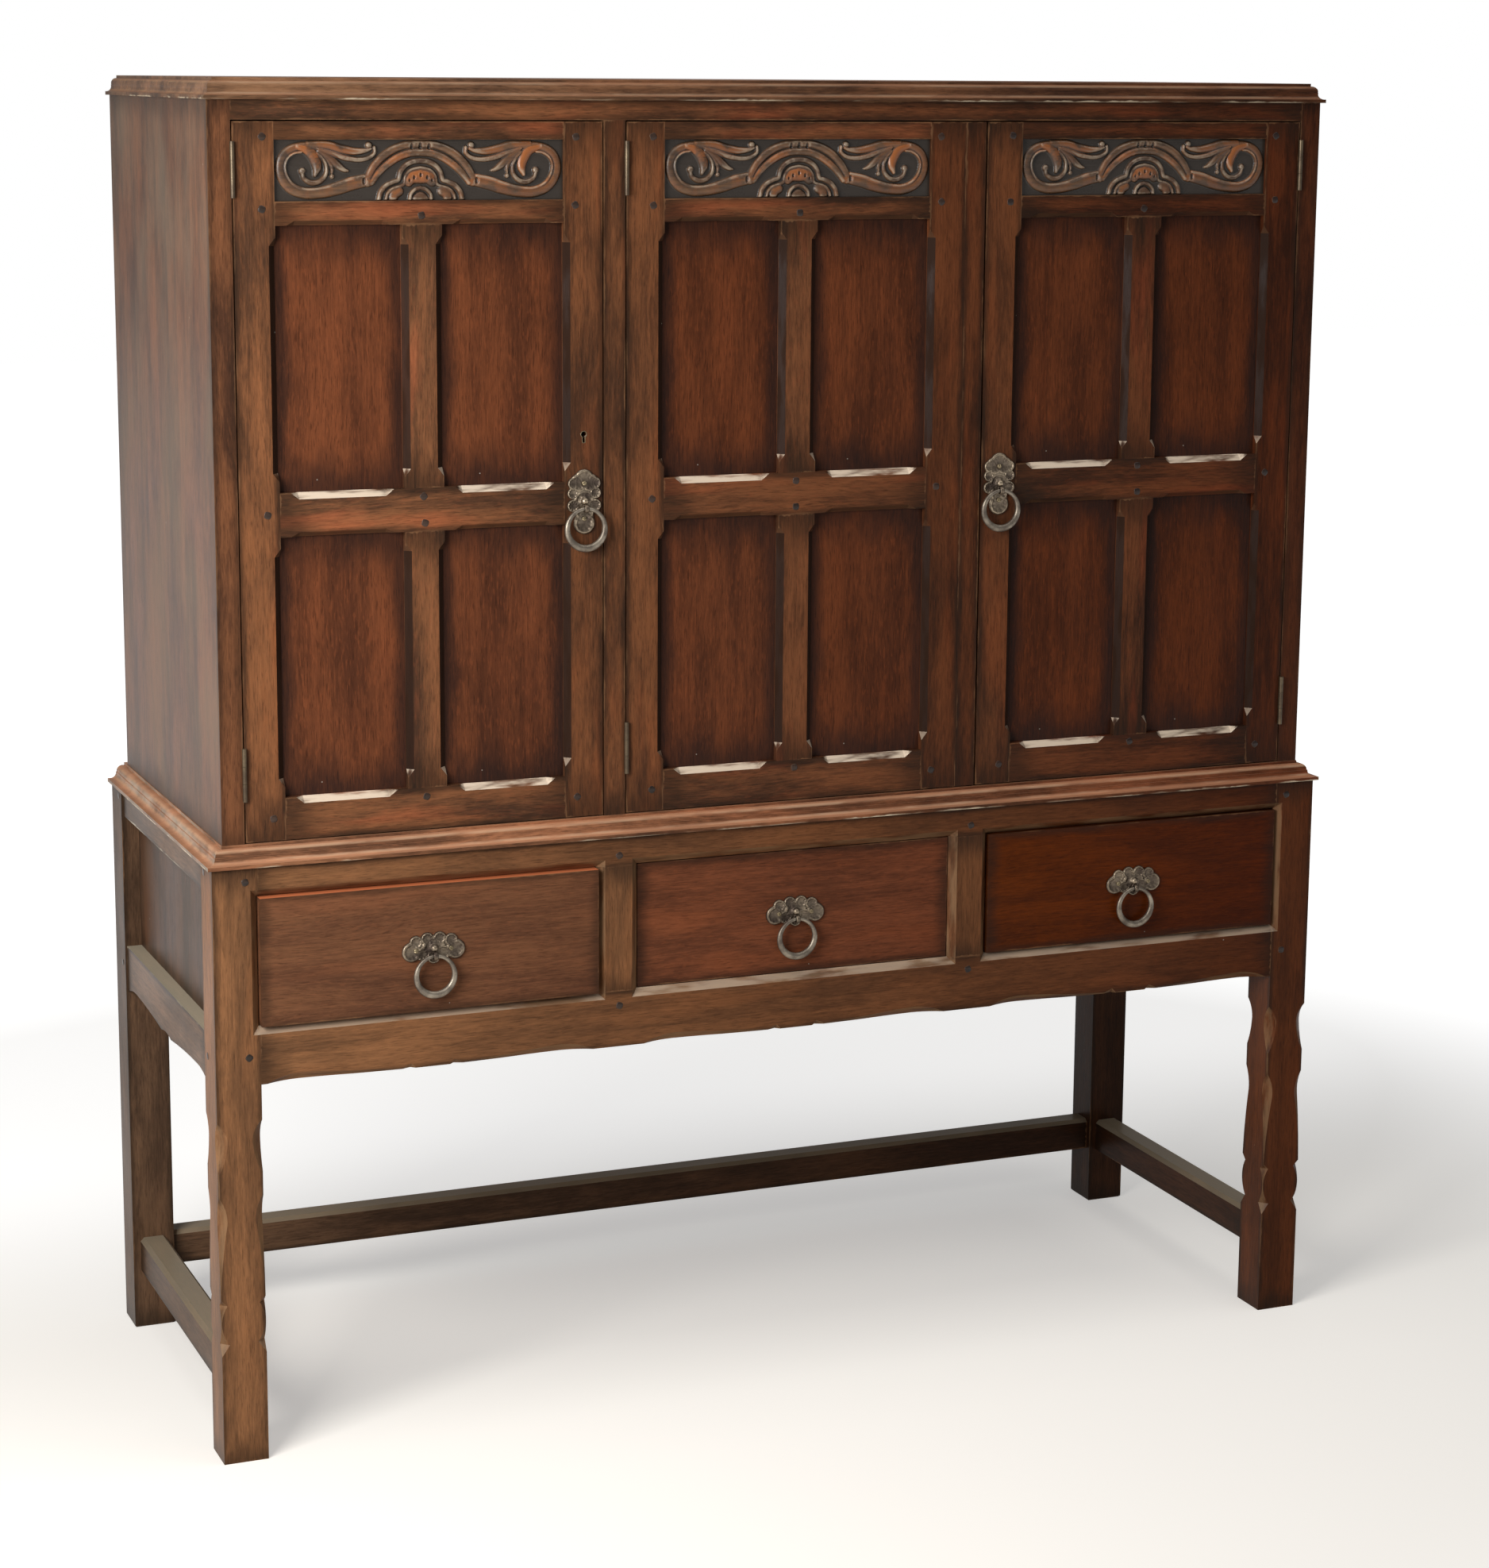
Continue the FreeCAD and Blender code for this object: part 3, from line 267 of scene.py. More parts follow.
class OakFigure(Effect):
    """Clouds of old stain, growth lines, pores and ray flecks that run along a board."""

    name = "Oak figure"
    takes = {
        "Place": ("vector", None),
        "Seed": ("value", 0.5),
        "Light": ("colour", None),
        "Dark": ("colour", None),
        "Glow": ("colour", None),
        "Glow Share": ("value", 0.4),
        "Fleck": ("value", 0.2),
        "Pore": ("value", 0.5),
    }
    gives = {"Colour": "colour", "Height": "value"}
    seed_shift = (7.3, 3.1, 5.7)
    sway = 0.02
    stain_shares = (0.58, 0.22, 0.2)
    grain_shares = (0.5, 0.62, 0.43)

    def wire(self, wiring: Wiring, given: dict[str, Signal]) -> dict[str, Signal]:
        """Wires the figure from noises stretched along the grain. See Effect.wire."""
        place = wiring.vector("ADD", given["Place"], wiring.scaled(self.seed_shift, given["Seed"]))
        drift = wiring.noise(place, (3, 14, 14), detail=2)
        place = wiring.vector("ADD", place, wiring.scaled((0, 1, 1), drift * self.sway))
        cloud = wiring.noise(place, (5, 21, 21), detail=4, roughness=0.6)
        streaks = wiring.noise(place, (1.5, 75, 75), roughness=0.6)
        lines = wiring.noise(place, (6, 430, 430), detail=2)
        dapple = wiring.noise(place, (46, 360, 360), detail=4, roughness=0.7)
        clouds, streaky, dappled = self.stain_shares
        mixed = cloud * clouds + streaks * streaky + dapple * dappled
        colour = wiring.mix(wiring.between(mixed, 0.38, 0.62), given["Dark"], given["Light"])
        warm = wiring.between(wiring.noise(place, (4.5, 26, 26)), 0.52, 0.72)
        colour = wiring.mix(warm * given["Glow Share"], colour, given["Glow"])
        lined, dappled, least = self.grain_shares
        grain = wiring.scaled(colour, lines * lined + dapple * dappled + least)
        flecks = wiring.between(wiring.noise(place, (85, 390, 390), detail=1), 0.57, 0.68)
        colour = wiring.mix(flecks * given["Fleck"], grain, given["Glow"])
        pores = wiring.between(wiring.noise(place, (60, 900, 900), detail=2), 0.55, 0.68)
        pore = pores * given["Pore"]
        colour = wiring.mix(pore, colour, wiring.mix(0.7, given["Dark"], BLACK))
        return {"Colour": colour, "Height": lines * 0.6 - pore}


class BoardEdges(Effect):
    """How near a point of a board's face is to the board's arrises."""

    name = "Board edges"
    takes = {
        "Place": ("vector", None),
        "Half": ("vector", None),
        "Inset": ("value", 0.0),
        "Reach": ("value", 0.02),
        "Ends": ("value", 1.5),
    }
    gives = {"Stain": "value", "Arris": "value"}
    wander = 1.6
    chip_depth = 0.005
    line_from, line_to = 0.0003, 0.0018

    def wire(self, wiring: Wiring, given: dict[str, Signal]) -> dict[str, Signal]:
        """Takes the middle of the three distances to the board's sides. See Effect.wire."""
        place, inset, reach = given["Place"], given["Inset"], given["Reach"]
        inside = wiring.vector("SUBTRACT", given["Half"], wiring.vector("ABSOLUTE", place))
        along, across, thick = wiring.split(inside)
        # This mask darkens a board towards its edges and ends: partly dirt at the joints, partly painted
        # shade in corners and recesses.
        soft = self.middle((along - inset) / given["Ends"], across - inset, thick)
        soft = soft + (wiring.noise(place, (10, 24, 24)) - 0.5) * reach * self.wander
        chip = (wiring.noise(place, (60, 200, 200)) - 0.5) * self.chip_depth
        worn = self.middle(along, across, thick) + chip
        line = 1 - wiring.between(worn, self.line_from, self.line_to)
        patch = wiring.between(wiring.noise(place, (9, 30, 30)), 0.47, 0.6)
        return {"Stain": 1 - wiring.between(soft, 0, reach), "Arris": line * patch}

    @staticmethod
    def middle(first: Signal, second: Signal, third: Signal) -> Signal:
        """The middle one of three values."""
        return first.least(second).most(first.most(second).least(third))


class FaceTurns(Effect):
    """Which way a face looks.

    Slopes are chamfers and rounded work, upper ones look up, and cheeks look aside. Level faces lie flat. The
    finishes lay painted light and shade by these masks.
    """

    name = "Face turns"
    takes = {"Place": ("vector", None)}
    gives = {"Slope": "value", "Upper": "value", "Cheek": "value", "Level": "value", "Side": "value"}

    def wire(self, wiring: Wiring, given: dict[str, Signal]) -> dict[str, Signal]:
        """Compares the face's direction with the three axes of its body. See Effect.wire."""
        normal = wiring.outputs("ShaderNodeTexCoord")["Normal"]
        side, front, top = wiring.split(wiring.vector("ABSOLUTE", normal))
        upward = wiring.split(normal)[2]
        slope = wiring.between(1 - side.most(front).most(top), 0.08, 0.2)
        rub = wiring.between(wiring.noise(given["Place"], (16, 80, 80), detail=4), 0.36, 0.6)
        return {
            "Slope": slope * rub,
            "Upper": slope * wiring.between(upward, 0.35, 0.6),
            "Cheek": slope * wiring.between(top, 0.35, 0.1),
            "Level": wiring.between(upward, 0.35, 0.9),
            "Side": wiring.between(side, 0.5, 0.9),
        }


class Specks(Effect):
    """Scattered pale knocks and specks of dust in the wax."""

    name = "Specks"
    takes = {"Place": ("vector", None), "Amount": ("value", 0.5)}
    gives = {"Speck": "value"}
    cells_to_a_metre = 55

    def wire(self, wiring: Wiring, given: dict[str, Signal]) -> dict[str, Signal]:
        """Keeps the middles of a few cells of a Voronoi pattern. See Effect.wire."""
        inputs = {"Vector": given["Place"], "Scale": self.cells_to_a_metre}
        cells = wiring.outputs("ShaderNodeTexVoronoi", inputs)
        keep = wiring.between(wiring.split(cells["Color"])[0], 0.955, 0.96)
        size = wiring.between(cells["Distance"], 0.06, 0.03)
        return {"Speck": keep * size * given["Amount"]}


class OldMetal(Effect):
    """Patches of bright and dull on handled metal."""

    name = "Old metal"
    takes = {
        "Place": ("vector", None),
        "Bright": ("colour", None),
        "Dull": ("colour", None),
        "Worn": ("value", 0.0),
    }
    gives = {"Colour": "colour", "Roughness": "value", "Height": "value"}
    patchy = 0.5
    dull_roughness = 0.46
    bright_smoothness = 0.16

    def wire(self, wiring: Wiring, given: dict[str, Signal]) -> dict[str, Signal]:
        """Blends two noises of different size. See Effect.wire."""
        patch = wiring.noise(given["Place"], (60, 60, 60))
        grit = wiring.noise(given["Place"], (900, 900, 900), detail=2)
        bright = wiring.between(patch + grit * 0.2, 0.4, 0.85) * self.patchy
        # This adds handled wear to the bright patches, with a painted highlight on the pull plates' rims and
        # bosses.
        bright = (bright + given["Worn"]).least(1.0)
        colour = wiring.mix(bright, given["Dull"], given["Bright"])
        roughness = self.dull_roughness - bright * self.bright_smoothness
        return {"Colour": colour, "Roughness": roughness, "Height": grit}


# Finishes

@dataclass
class Effects:
    """The shared node groups."""

    figure: OakFigure = field(default_factory=OakFigure)
    edges: BoardEdges = field(default_factory=BoardEdges)
    turns: FaceTurns = field(default_factory=FaceTurns)
    specks: Specks = field(default_factory=Specks)
    metal: OldMetal = field(default_factory=OldMetal)


class Surface:
    """A new material with a Principled shader."""

    def __init__(self, name: str) -> None:
        """Args:
            name: The material's name.
        """
        self.material = bpy.data.materials.new(name)
        self.material.use_nodes = True
        self.material.node_tree.nodes.clear()
        self.wiring = Wiring(self.material.node_tree)
        self.shader = self.wiring.add("ShaderNodeBsdfPrincipled")
        shaded = Signal(self.wiring, self.shader.outputs[0])
        self.wiring.add("ShaderNodeOutputMaterial", {"Surface": shaded})

    def fill(self, inputs: dict[str, object]) -> None:
        """Fills inputs of the shader with signals or plain values, by name."""
        for name, value in inputs.items():
            self.wiring.feed(self.shader.inputs[name], value)

    def relief(self, height: Signal, strength: float, depth: float) -> Signal:
        """The direction of a surface with fine relief.

        Args:
            height: The relief.
            strength: How much of the relief shows.
            depth: How deep it is in metres.

        Returns:
            The signal for the shader's normal.
        """
        inputs = {"Height": height, "Strength": strength, "Distance": depth}
        return self.wiring.outputs("ShaderNodeBump", inputs)["Normal"]


@dataclass(frozen=True)
class Oak:
    """One finish of stained and polished oak.

    The stain colour darkens the ends and edges of a board, partly as dirt at its joints and partly as painted
    shade in corners and recesses, and the rub brightens its arrises. The slope colour lies on chamfers, as
    paler wear on the stand and mouldings and as painted shade on the chamfers of the frame and drawers. The
    cheek colour is painted shade on chamfers that look aside. On chamfers that look up, a pale colour is
    painted as a reflection of the light above, partly over bare worn wood. The level colour lies on faces
    that look up: painted top light, and worn raw wood on the first drawer's top edge. The grey colour on
    faces that look aside is a painted sheen.
    The shaded tint is painted shade over what is on the right of the cupboard, the lit one painted light over
    what is on the left.
    """

    name: str
    light: Colour
    dark: Colour
    glow: Colour = seen(146, 80, 42)
    # Darkens edges and ends: partly dirt at the joints, partly painted shade in corners and recesses.
    stain: Colour = seen(32, 25, 19)
    rub: Colour = seen(146, 106, 74)
    # On chamfers: paler wear on the stand and mouldings, painted shade on the frame and drawers.
    slope: Colour = seen(80, 55, 38)
    # Painted reflection of the light above on chamfers that look up, partly over bare worn wood.
    bare: Colour = seen(226, 206, 182)
    # On faces that look up: painted top light, and worn raw wood on the first drawer's top edge.
    level: Colour = seen(176, 118, 78)
    # Painted shade on chamfers that look aside.
    cheek: Colour = seen(36, 21, 13)
    # Painted grey sheen on faces that look aside.
    veil: Colour = seen(132, 118, 100)
    dust: Colour = seen(205, 196, 180)
    # Painted shade over the right of the cupboard and painted light over the left.
    shaded: Colour = (0.6, 0.38, 0.3, 1)
    lit: Colour = (1.24, 1.22, 1.18, 1)
    glow_share: float = 0.4
    inset: float = 0.0
    reach: float = 0.01
    ends: float = 3.5
    dirt_and_shade_share: float = 0.65
    arris_share: float = 0.4
    slope_share: float = 0.7
    cheek_share: float = 0.0
    bare_wood_and_reflection_share: float = 0.0
    level_share: float = 0.0
    painted_sheen_share: float = 0.0
    speck_share: float = 0.5
    fleck: float = 0.1
    pore: float = 0.4
    roughness: float = 0.36
    haze_roughness: float = 0.3
    slope_roughness: float = 0.4
    gloss: float = 0.06
    coat: float = 0.01
    coat_roughness: float = 0.22

    def make(self, effects: Effects) -> bpy.types.Material:
        """Wires the finish.

        Args:
            effects: The shared node groups.

        Returns:
            The material.
        """
        surface = Surface(self.name)
        wiring = surface.wiring
        place = wiring.attribute("board_at", "Vector")
        figure = effects.figure.use(wiring, {
            "Place": place, "Seed": wiring.attribute("board_seed"), "Light": self.light, "Dark": self.dark,
            "Glow": self.glow, "Glow Share": self.glow_share, "Fleck": self.fleck, "Pore": self.pore,
        })
        edges = effects.edges.use(wiring, {
            "Place": place, "Half": wiring.attribute("board_half", "Vector"), "Inset": self.inset,
            "Reach": self.reach, "Ends": self.ends,
        })
        turns = effects.turns.use(wiring, {"Place": place})
        specks = effects.specks.use(wiring, {"Place": place, "Amount": self.speck_share})
        haze = wiring.noise(place, (5, 9, 9))
        ragged = wiring.between(wiring.noise(place, (12, 60, 60), detail=4), 0.33, 0.5)
        # These layers lay painted sheen, shade, top light and reflection by which way a face looks, with
        # dirt, wear and dust.
        layers = (
            (wiring.between(haze, 0.3, 0.75) * turns["Side"], self.painted_sheen_share, self.veil),
            (edges["Stain"], self.dirt_and_shade_share, self.stain),
            (turns["Slope"], self.slope_share, self.slope),
            (turns["Cheek"], self.cheek_share, self.cheek),
            (turns["Level"], self.level_share, self.level),
            (edges["Arris"], self.arris_share, self.rub),
            (turns["Upper"] * ragged, self.bare_wood_and_reflection_share, self.bare),
            (specks["Speck"], 1.0, self.dust),
        )
        # Painted light and shade: lighter on the left of the cupboard, darker and redder on the right.
        tint = wiring.mix(wiring.attribute("board_tone"), self.shaded, self.lit)
        colour = wiring.vector("MULTIPLY", figure["Colour"], tint)
        for mask, share, layer in layers:
            if share > 0:
                colour = wiring.mix(mask * share, colour, layer)
        dulled = (haze - 0.5) * self.haze_roughness + turns["Slope"] * self.slope_roughness
        surface.fill({
            "Base Color": colour, "Roughness": dulled + self.roughness, "Specular IOR Level": self.gloss,
            "Coat Weight": self.coat, "Coat Roughness": self.coat_roughness,
            "Normal": surface.relief(figure["Height"], strength=0.45, depth=GRAIN_DEPTH),
        })
        return surface.material


@dataclass(frozen=True)
class CarvedOak:
    """Carved oak: dark wax in the ground, rubbed orange on what stands proud, painted highlight on worn
    crests.
    """

    name: str
    ground: Colour = seen(52, 45, 39)
    body: Colour = seen(108, 78, 54)
    shadow: Colour = seen(66, 50, 39)
    rub: Colour = seen(142, 84, 45)
    pale: Colour = seen(168, 152, 130)
    pale_wear_and_highlight_share: float = 0.5
    hollow_share: float = 0.7
    roughness: float = 0.36
    rubbed_smoothness: float = 0.1

    def make(self, effects: Effects) -> bpy.types.Material:
        """Wires the finish. See Oak.make."""
        surface = Surface(self.name)
        wiring = surface.wiring
        place = wiring.attribute("board_at", "Vector")
        rise = wiring.attribute("carved_rise")
        crest = wiring.attribute("carved_crest")
        figure = effects.figure.use(wiring, {
            "Place": place, "Seed": 0.4, "Light": self.body, "Dark": self.shadow, "Glow": self.rub,
            "Glow Share": 0.1, "Fleck": 0.05, "Pore": 0.3,
        })
        patch = wiring.between(wiring.noise(place, (46, 46, 46), detail=4), 0.43, 0.6)
        rubbed = patch * wiring.attribute("carved_warmth") * wiring.between(rise, 0.3, 0.8)
        handled = wiring.between(wiring.noise(place, (90, 90, 90)), 0.36, 0.62)
        # Pale crests: handled wear with a painted highlight on the carving's ridges.
        proud = wiring.between(crest, 0.7, 0.96) * handled * self.pale_wear_and_highlight_share
        hollow = wiring.between(crest, 0.42, 0.1) * self.hollow_share
        colour = wiring.mix(wiring.between(rise, 0.08, 0.5), self.ground, figure["Colour"])
        for mask, layer in ((rubbed, self.rub), (proud, self.pale), (hollow, self.ground)):
            colour = wiring.mix(mask, colour, layer)
        surface.fill({
            "Base Color": colour, "Roughness": self.roughness - patch * self.rubbed_smoothness,
            "Specular IOR Level": 0.3, "Coat Weight": 0.05, "Coat Roughness": 0.2,
            "Normal": surface.relief(figure["Height"], strength=0.4, depth=GRAIN_DEPTH),
        })
        return surface.material


@dataclass(frozen=True)
class Metal:
    """One finish of handled metal."""

    name: str
    bright: Colour
    dull: Colour
    metallic: float = 0.85

    def make(self, effects: Effects) -> bpy.types.Material:
        """Wires the finish. See Oak.make."""
        surface = Surface(self.name)
        wiring = surface.wiring
        metal = effects.metal.use(wiring, {
            "Place": wiring.outputs("ShaderNodeTexCoord")["Object"], "Bright": self.bright, "Dull": self.dull,
            "Worn": wiring.attribute("metal_worn"),
        })
        surface.fill({
            "Base Color": metal["Colour"], "Roughness": metal["Roughness"], "Metallic": self.metallic,
            "Normal": surface.relief(metal["Height"], strength=0.2, depth=GRIT_DEPTH),
        })
        return surface.material


class Finish(Enum):
    """Every finish on the cupboard."""

    # The frame's chamfers carry painted shade where they look aside and a painted reflection where they look
    # up.
    STILE = Oak(
        "Stile oak", seen(118, 76, 49), seen(68, 46, 33), glow=seen(138, 80, 48), reach=0.008, ends=7,
        bare_wood_and_reflection_share=0.5, cheek_share=0.92
    )
    RAIL = Oak(
        "Rail oak", seen(122, 80, 53), seen(66, 46, 34), glow=seen(160, 88, 57), glow_share=0.5, ends=6,
        bare_wood_and_reflection_share=0.85, cheek_share=0.92
    )
    # The dark band round each panel is partly dirt and partly painted shade in the recess by the frame.
    PANEL = Oak(
        "Panel oak", seen(103, 59, 37), seen(72, 41, 27), glow=seen(122, 68, 42), stain=seen(27, 22, 21),
        shaded=(0.84, 0.62, 0.42, 1), glow_share=0.3, inset=0.007, reach=0.021, ends=2.6, dirt_and_shade_share=0.68,
        arris_share=0, slope_share=0, fleck=0.3, pore=0.5, roughness=0.32
    )
    MOULDING = Oak(
        "Moulding oak", seen(122, 90, 66), seen(68, 50, 39), glow=seen(142, 96, 66), rub=seen(186, 168, 142),
        slope=seen(160, 140, 116), level=seen(160, 112, 82), slope_share=0.4, level_share=0.4,
        dirt_and_shade_share=0.4, arris_share=0.9
    )
    # Lighter than the moulding finish: painted light on the waist's rounded top, with a painted sheen on its
    # ends.
    WAIST = Oak(
        "Waist moulding oak", seen(168, 118, 86), seen(98, 68, 50), glow=seen(190, 124, 88),
        rub=seen(214, 196, 168), slope=seen(196, 168, 138), level=seen(206, 150, 114),
        veil=seen(196, 184, 164), slope_share=0.45, level_share=0.45, painted_sheen_share=0.8, dirt_and_shade_share=0.4,
        arris_share=0.95
    )
    SIDE_PANEL = Oak(
        "Side panel oak", seen(84, 58, 42), seen(52, 37, 28), glow=seen(94, 62, 44), painted_sheen_share=0.14,
        arris_share=0.25, dirt_and_shade_share=0.5, fleck=0.15
    )
    CASE_SIDE = Oak(
        "Case side oak", seen(106, 68, 45), seen(62, 40, 29), glow=seen(120, 76, 49), painted_sheen_share=0.42,
        arris_share=0.25, dirt_and_shade_share=0.5, fleck=0.15
    )
    STAND = Oak(
        "Stand oak", seen(132, 92, 62), seen(100, 70, 48), glow=seen(148, 99, 64), slope=seen(156, 124, 92),
        level=seen(150, 130, 108), shaded=(0.4, 0.19, 0.1, 1), slope_share=0.4, bare_wood_and_reflection_share=0.3,
        level_share=0.25, ends=5, reach=0.007
    )
    REAR_STAND = Oak(
        "Rear stand oak", seen(92, 69, 52), seen(62, 46, 35), glow=seen(104, 76, 56), slope=seen(112, 90, 68),
        level=seen(166, 152, 128), shaded=(0.5, 0.3, 0.2, 1), slope_share=0.4, level_share=0.6, ends=5,
        reach=0.007
    )
    # Its pale tops and upward chamfers are painted top light and reflection as well as chipped, worn wood.
    LEDGE = Oak(
        "Chipped ledge oak", seen(108, 82, 62), seen(74, 56, 42), glow=seen(122, 90, 64),
        slope=seen(176, 160, 136), rub=seen(190, 176, 152), level=seen(196, 184, 160), slope_share=0.6,
        bare_wood_and_reflection_share=0.7, level_share=0.6, arris_share=0.8, ends=5, reach=0.007
    )
    DRAWER = Oak(
        "Drawer oak", seen(122, 74, 50), seen(94, 57, 39), glow=seen(138, 80, 50), ends=2, fleck=0.25,
        dirt_and_shade_share=0.6, roughness=0.38
    )
    HAZY_DRAWER = Oak(
        "Hazy drawer oak", seen(108, 72, 50), seen(86, 56, 40), glow=seen(124, 78, 53),
        level=seen(214, 122, 78), level_share=0.8, reach=0.008, ends=2, fleck=0.25, dirt_and_shade_share=0.5,
        roughness=0.42
    )
    DEEP_DRAWER = Oak(
        "Deep drawer oak", seen(112, 58, 16), seen(84, 42, 11), glow=seen(122, 64, 18), ends=2, fleck=0.25,
        dirt_and_shade_share=0.6
    )
    INSIDE = Oak(
        "Unwaxed oak", seen(160, 120, 82), seen(116, 84, 58), glow=seen(176, 132, 88), stain=seen(84, 60, 42),
        dirt_and_shade_share=0.3, rub=seen(180, 146, 108), arris_share=0.2, coat=0, roughness=0.6
    )
    CARVED = CarvedOak("Carved oak")
    PEG = Oak(
        "Peg oak", seen(56, 42, 34), seen(32, 24, 19), glow=seen(80, 56, 40), dirt_and_shade_share=0, arris_share=0.1,
        speck_share=0, gloss=0.3, roughness=0.3
    )
    BRONZE = Metal("Dark bronze", seen(160, 144, 122), seen(66, 55, 48))
    RING = Metal("Worn bronze", seen(196, 184, 164), seen(88, 78, 69), metallic=0.8)
    BRASS = Metal("Screw brass", seen(172, 158, 128), seen(116, 102, 78))
    HINGE_BRASS = Metal("Hinge brass", seen(124, 108, 82), seen(72, 58, 43), metallic=0.6)
    IRON = Metal("Old iron", seen(110, 104, 98), seen(62, 56, 52), metallic=0.7)


NODES_OF: dict[Finish, tuple[str, ...]] = {
    Finish.STILE: ("case_partition", "_stiles", "_closing_strip"),
    Finish.RAIL: ("case_top_board", "_rails"),
    Finish.PANEL: ("_panels", "_frieze"),
    Finish.MOULDING: ("cornice",),
    Finish.WAIST: ("stand_top",),
    Finish.SIDE_PANEL: ("side_panels",),
    Finish.CASE_SIDE: ("case_sides",),
    Finish.STAND: ("front_legs", "front_top_rail", "front_apron", "drawer_muntins"),
    Finish.REAR_STAND: ("back_legs", "stretchers"),
    Finish.LEDGE: ("side_top_rails", "side_aprons"),
    Finish.DRAWER: ("_front",),
    Finish.HAZY_DRAWER: ("drawer_1_front",),
    Finish.DEEP_DRAWER: ("drawer_3_front",),
    Finish.INSIDE: (
        "case_floor", "case_back", "shelves", "back_rails", "back_panel", "drawer_runners", "_box",
    ),
    Finish.BRONZE: ("_pull", "_ring"),
    Finish.HINGE_BRASS: ("_hinge_leaves",),
    Finish.IRON: ("_lock", "_bolt", "_bolt_staples"),
}


def finish_of(node: str) -> Finish:
    """The finish of a CAD node: the one with the longest name or ending that the node's name ends with."""
    lengths = {
        len(ending): finish
        for finish, endings in NODES_OF.items() for ending in endings if node.endswith(ending)
    }
    return lengths[max(lengths)]


class Paintbox:
    """Makes each finish's material once, when it is first asked for."""

    def __init__(self) -> None:
        """Builds the shared node groups."""
        self.effects = Effects()
        self.made: dict[Finish, bpy.types.Material] = {}

    def material(self, finish: Finish) -> bpy.types.Material:
        """The material of a finish."""
        if finish not in self.made:
            self.made[finish] = finish.value.make(self.effects)
        return self.made[finish]

    def dress_boards(self, piece: bpy.types.Object, finish: Finish, grain: int | None = None) -> None:
        """Marks a piece's boards and gives it one finish. See Boards.mark."""
        Boards(piece).mark(grain)
        self.dress(piece, finish)

    def dress(self, piece: bpy.types.Object, finish: Finish) -> None:
        """Gives a piece one finish."""
        material = self.material(finish)
        if not piece.material_slots:
            piece.data.materials.append(material)
        for slot in piece.material_slots:
            slot.material = material


# Boards

@dataclass
class Board:
    """One separate solid of a mesh, as the box it fills."""

    low: np.ndarray
    high: np.ndarray
    corners: np.ndarray

    @property
    def middle(self) -> np.ndarray:
        """The box's middle."""
        return (self.low + self.high) / 2

    @property
    def half(self) -> np.ndarray:
        """Half the box's size along each axis."""
        return (self.high - self.low) / 2


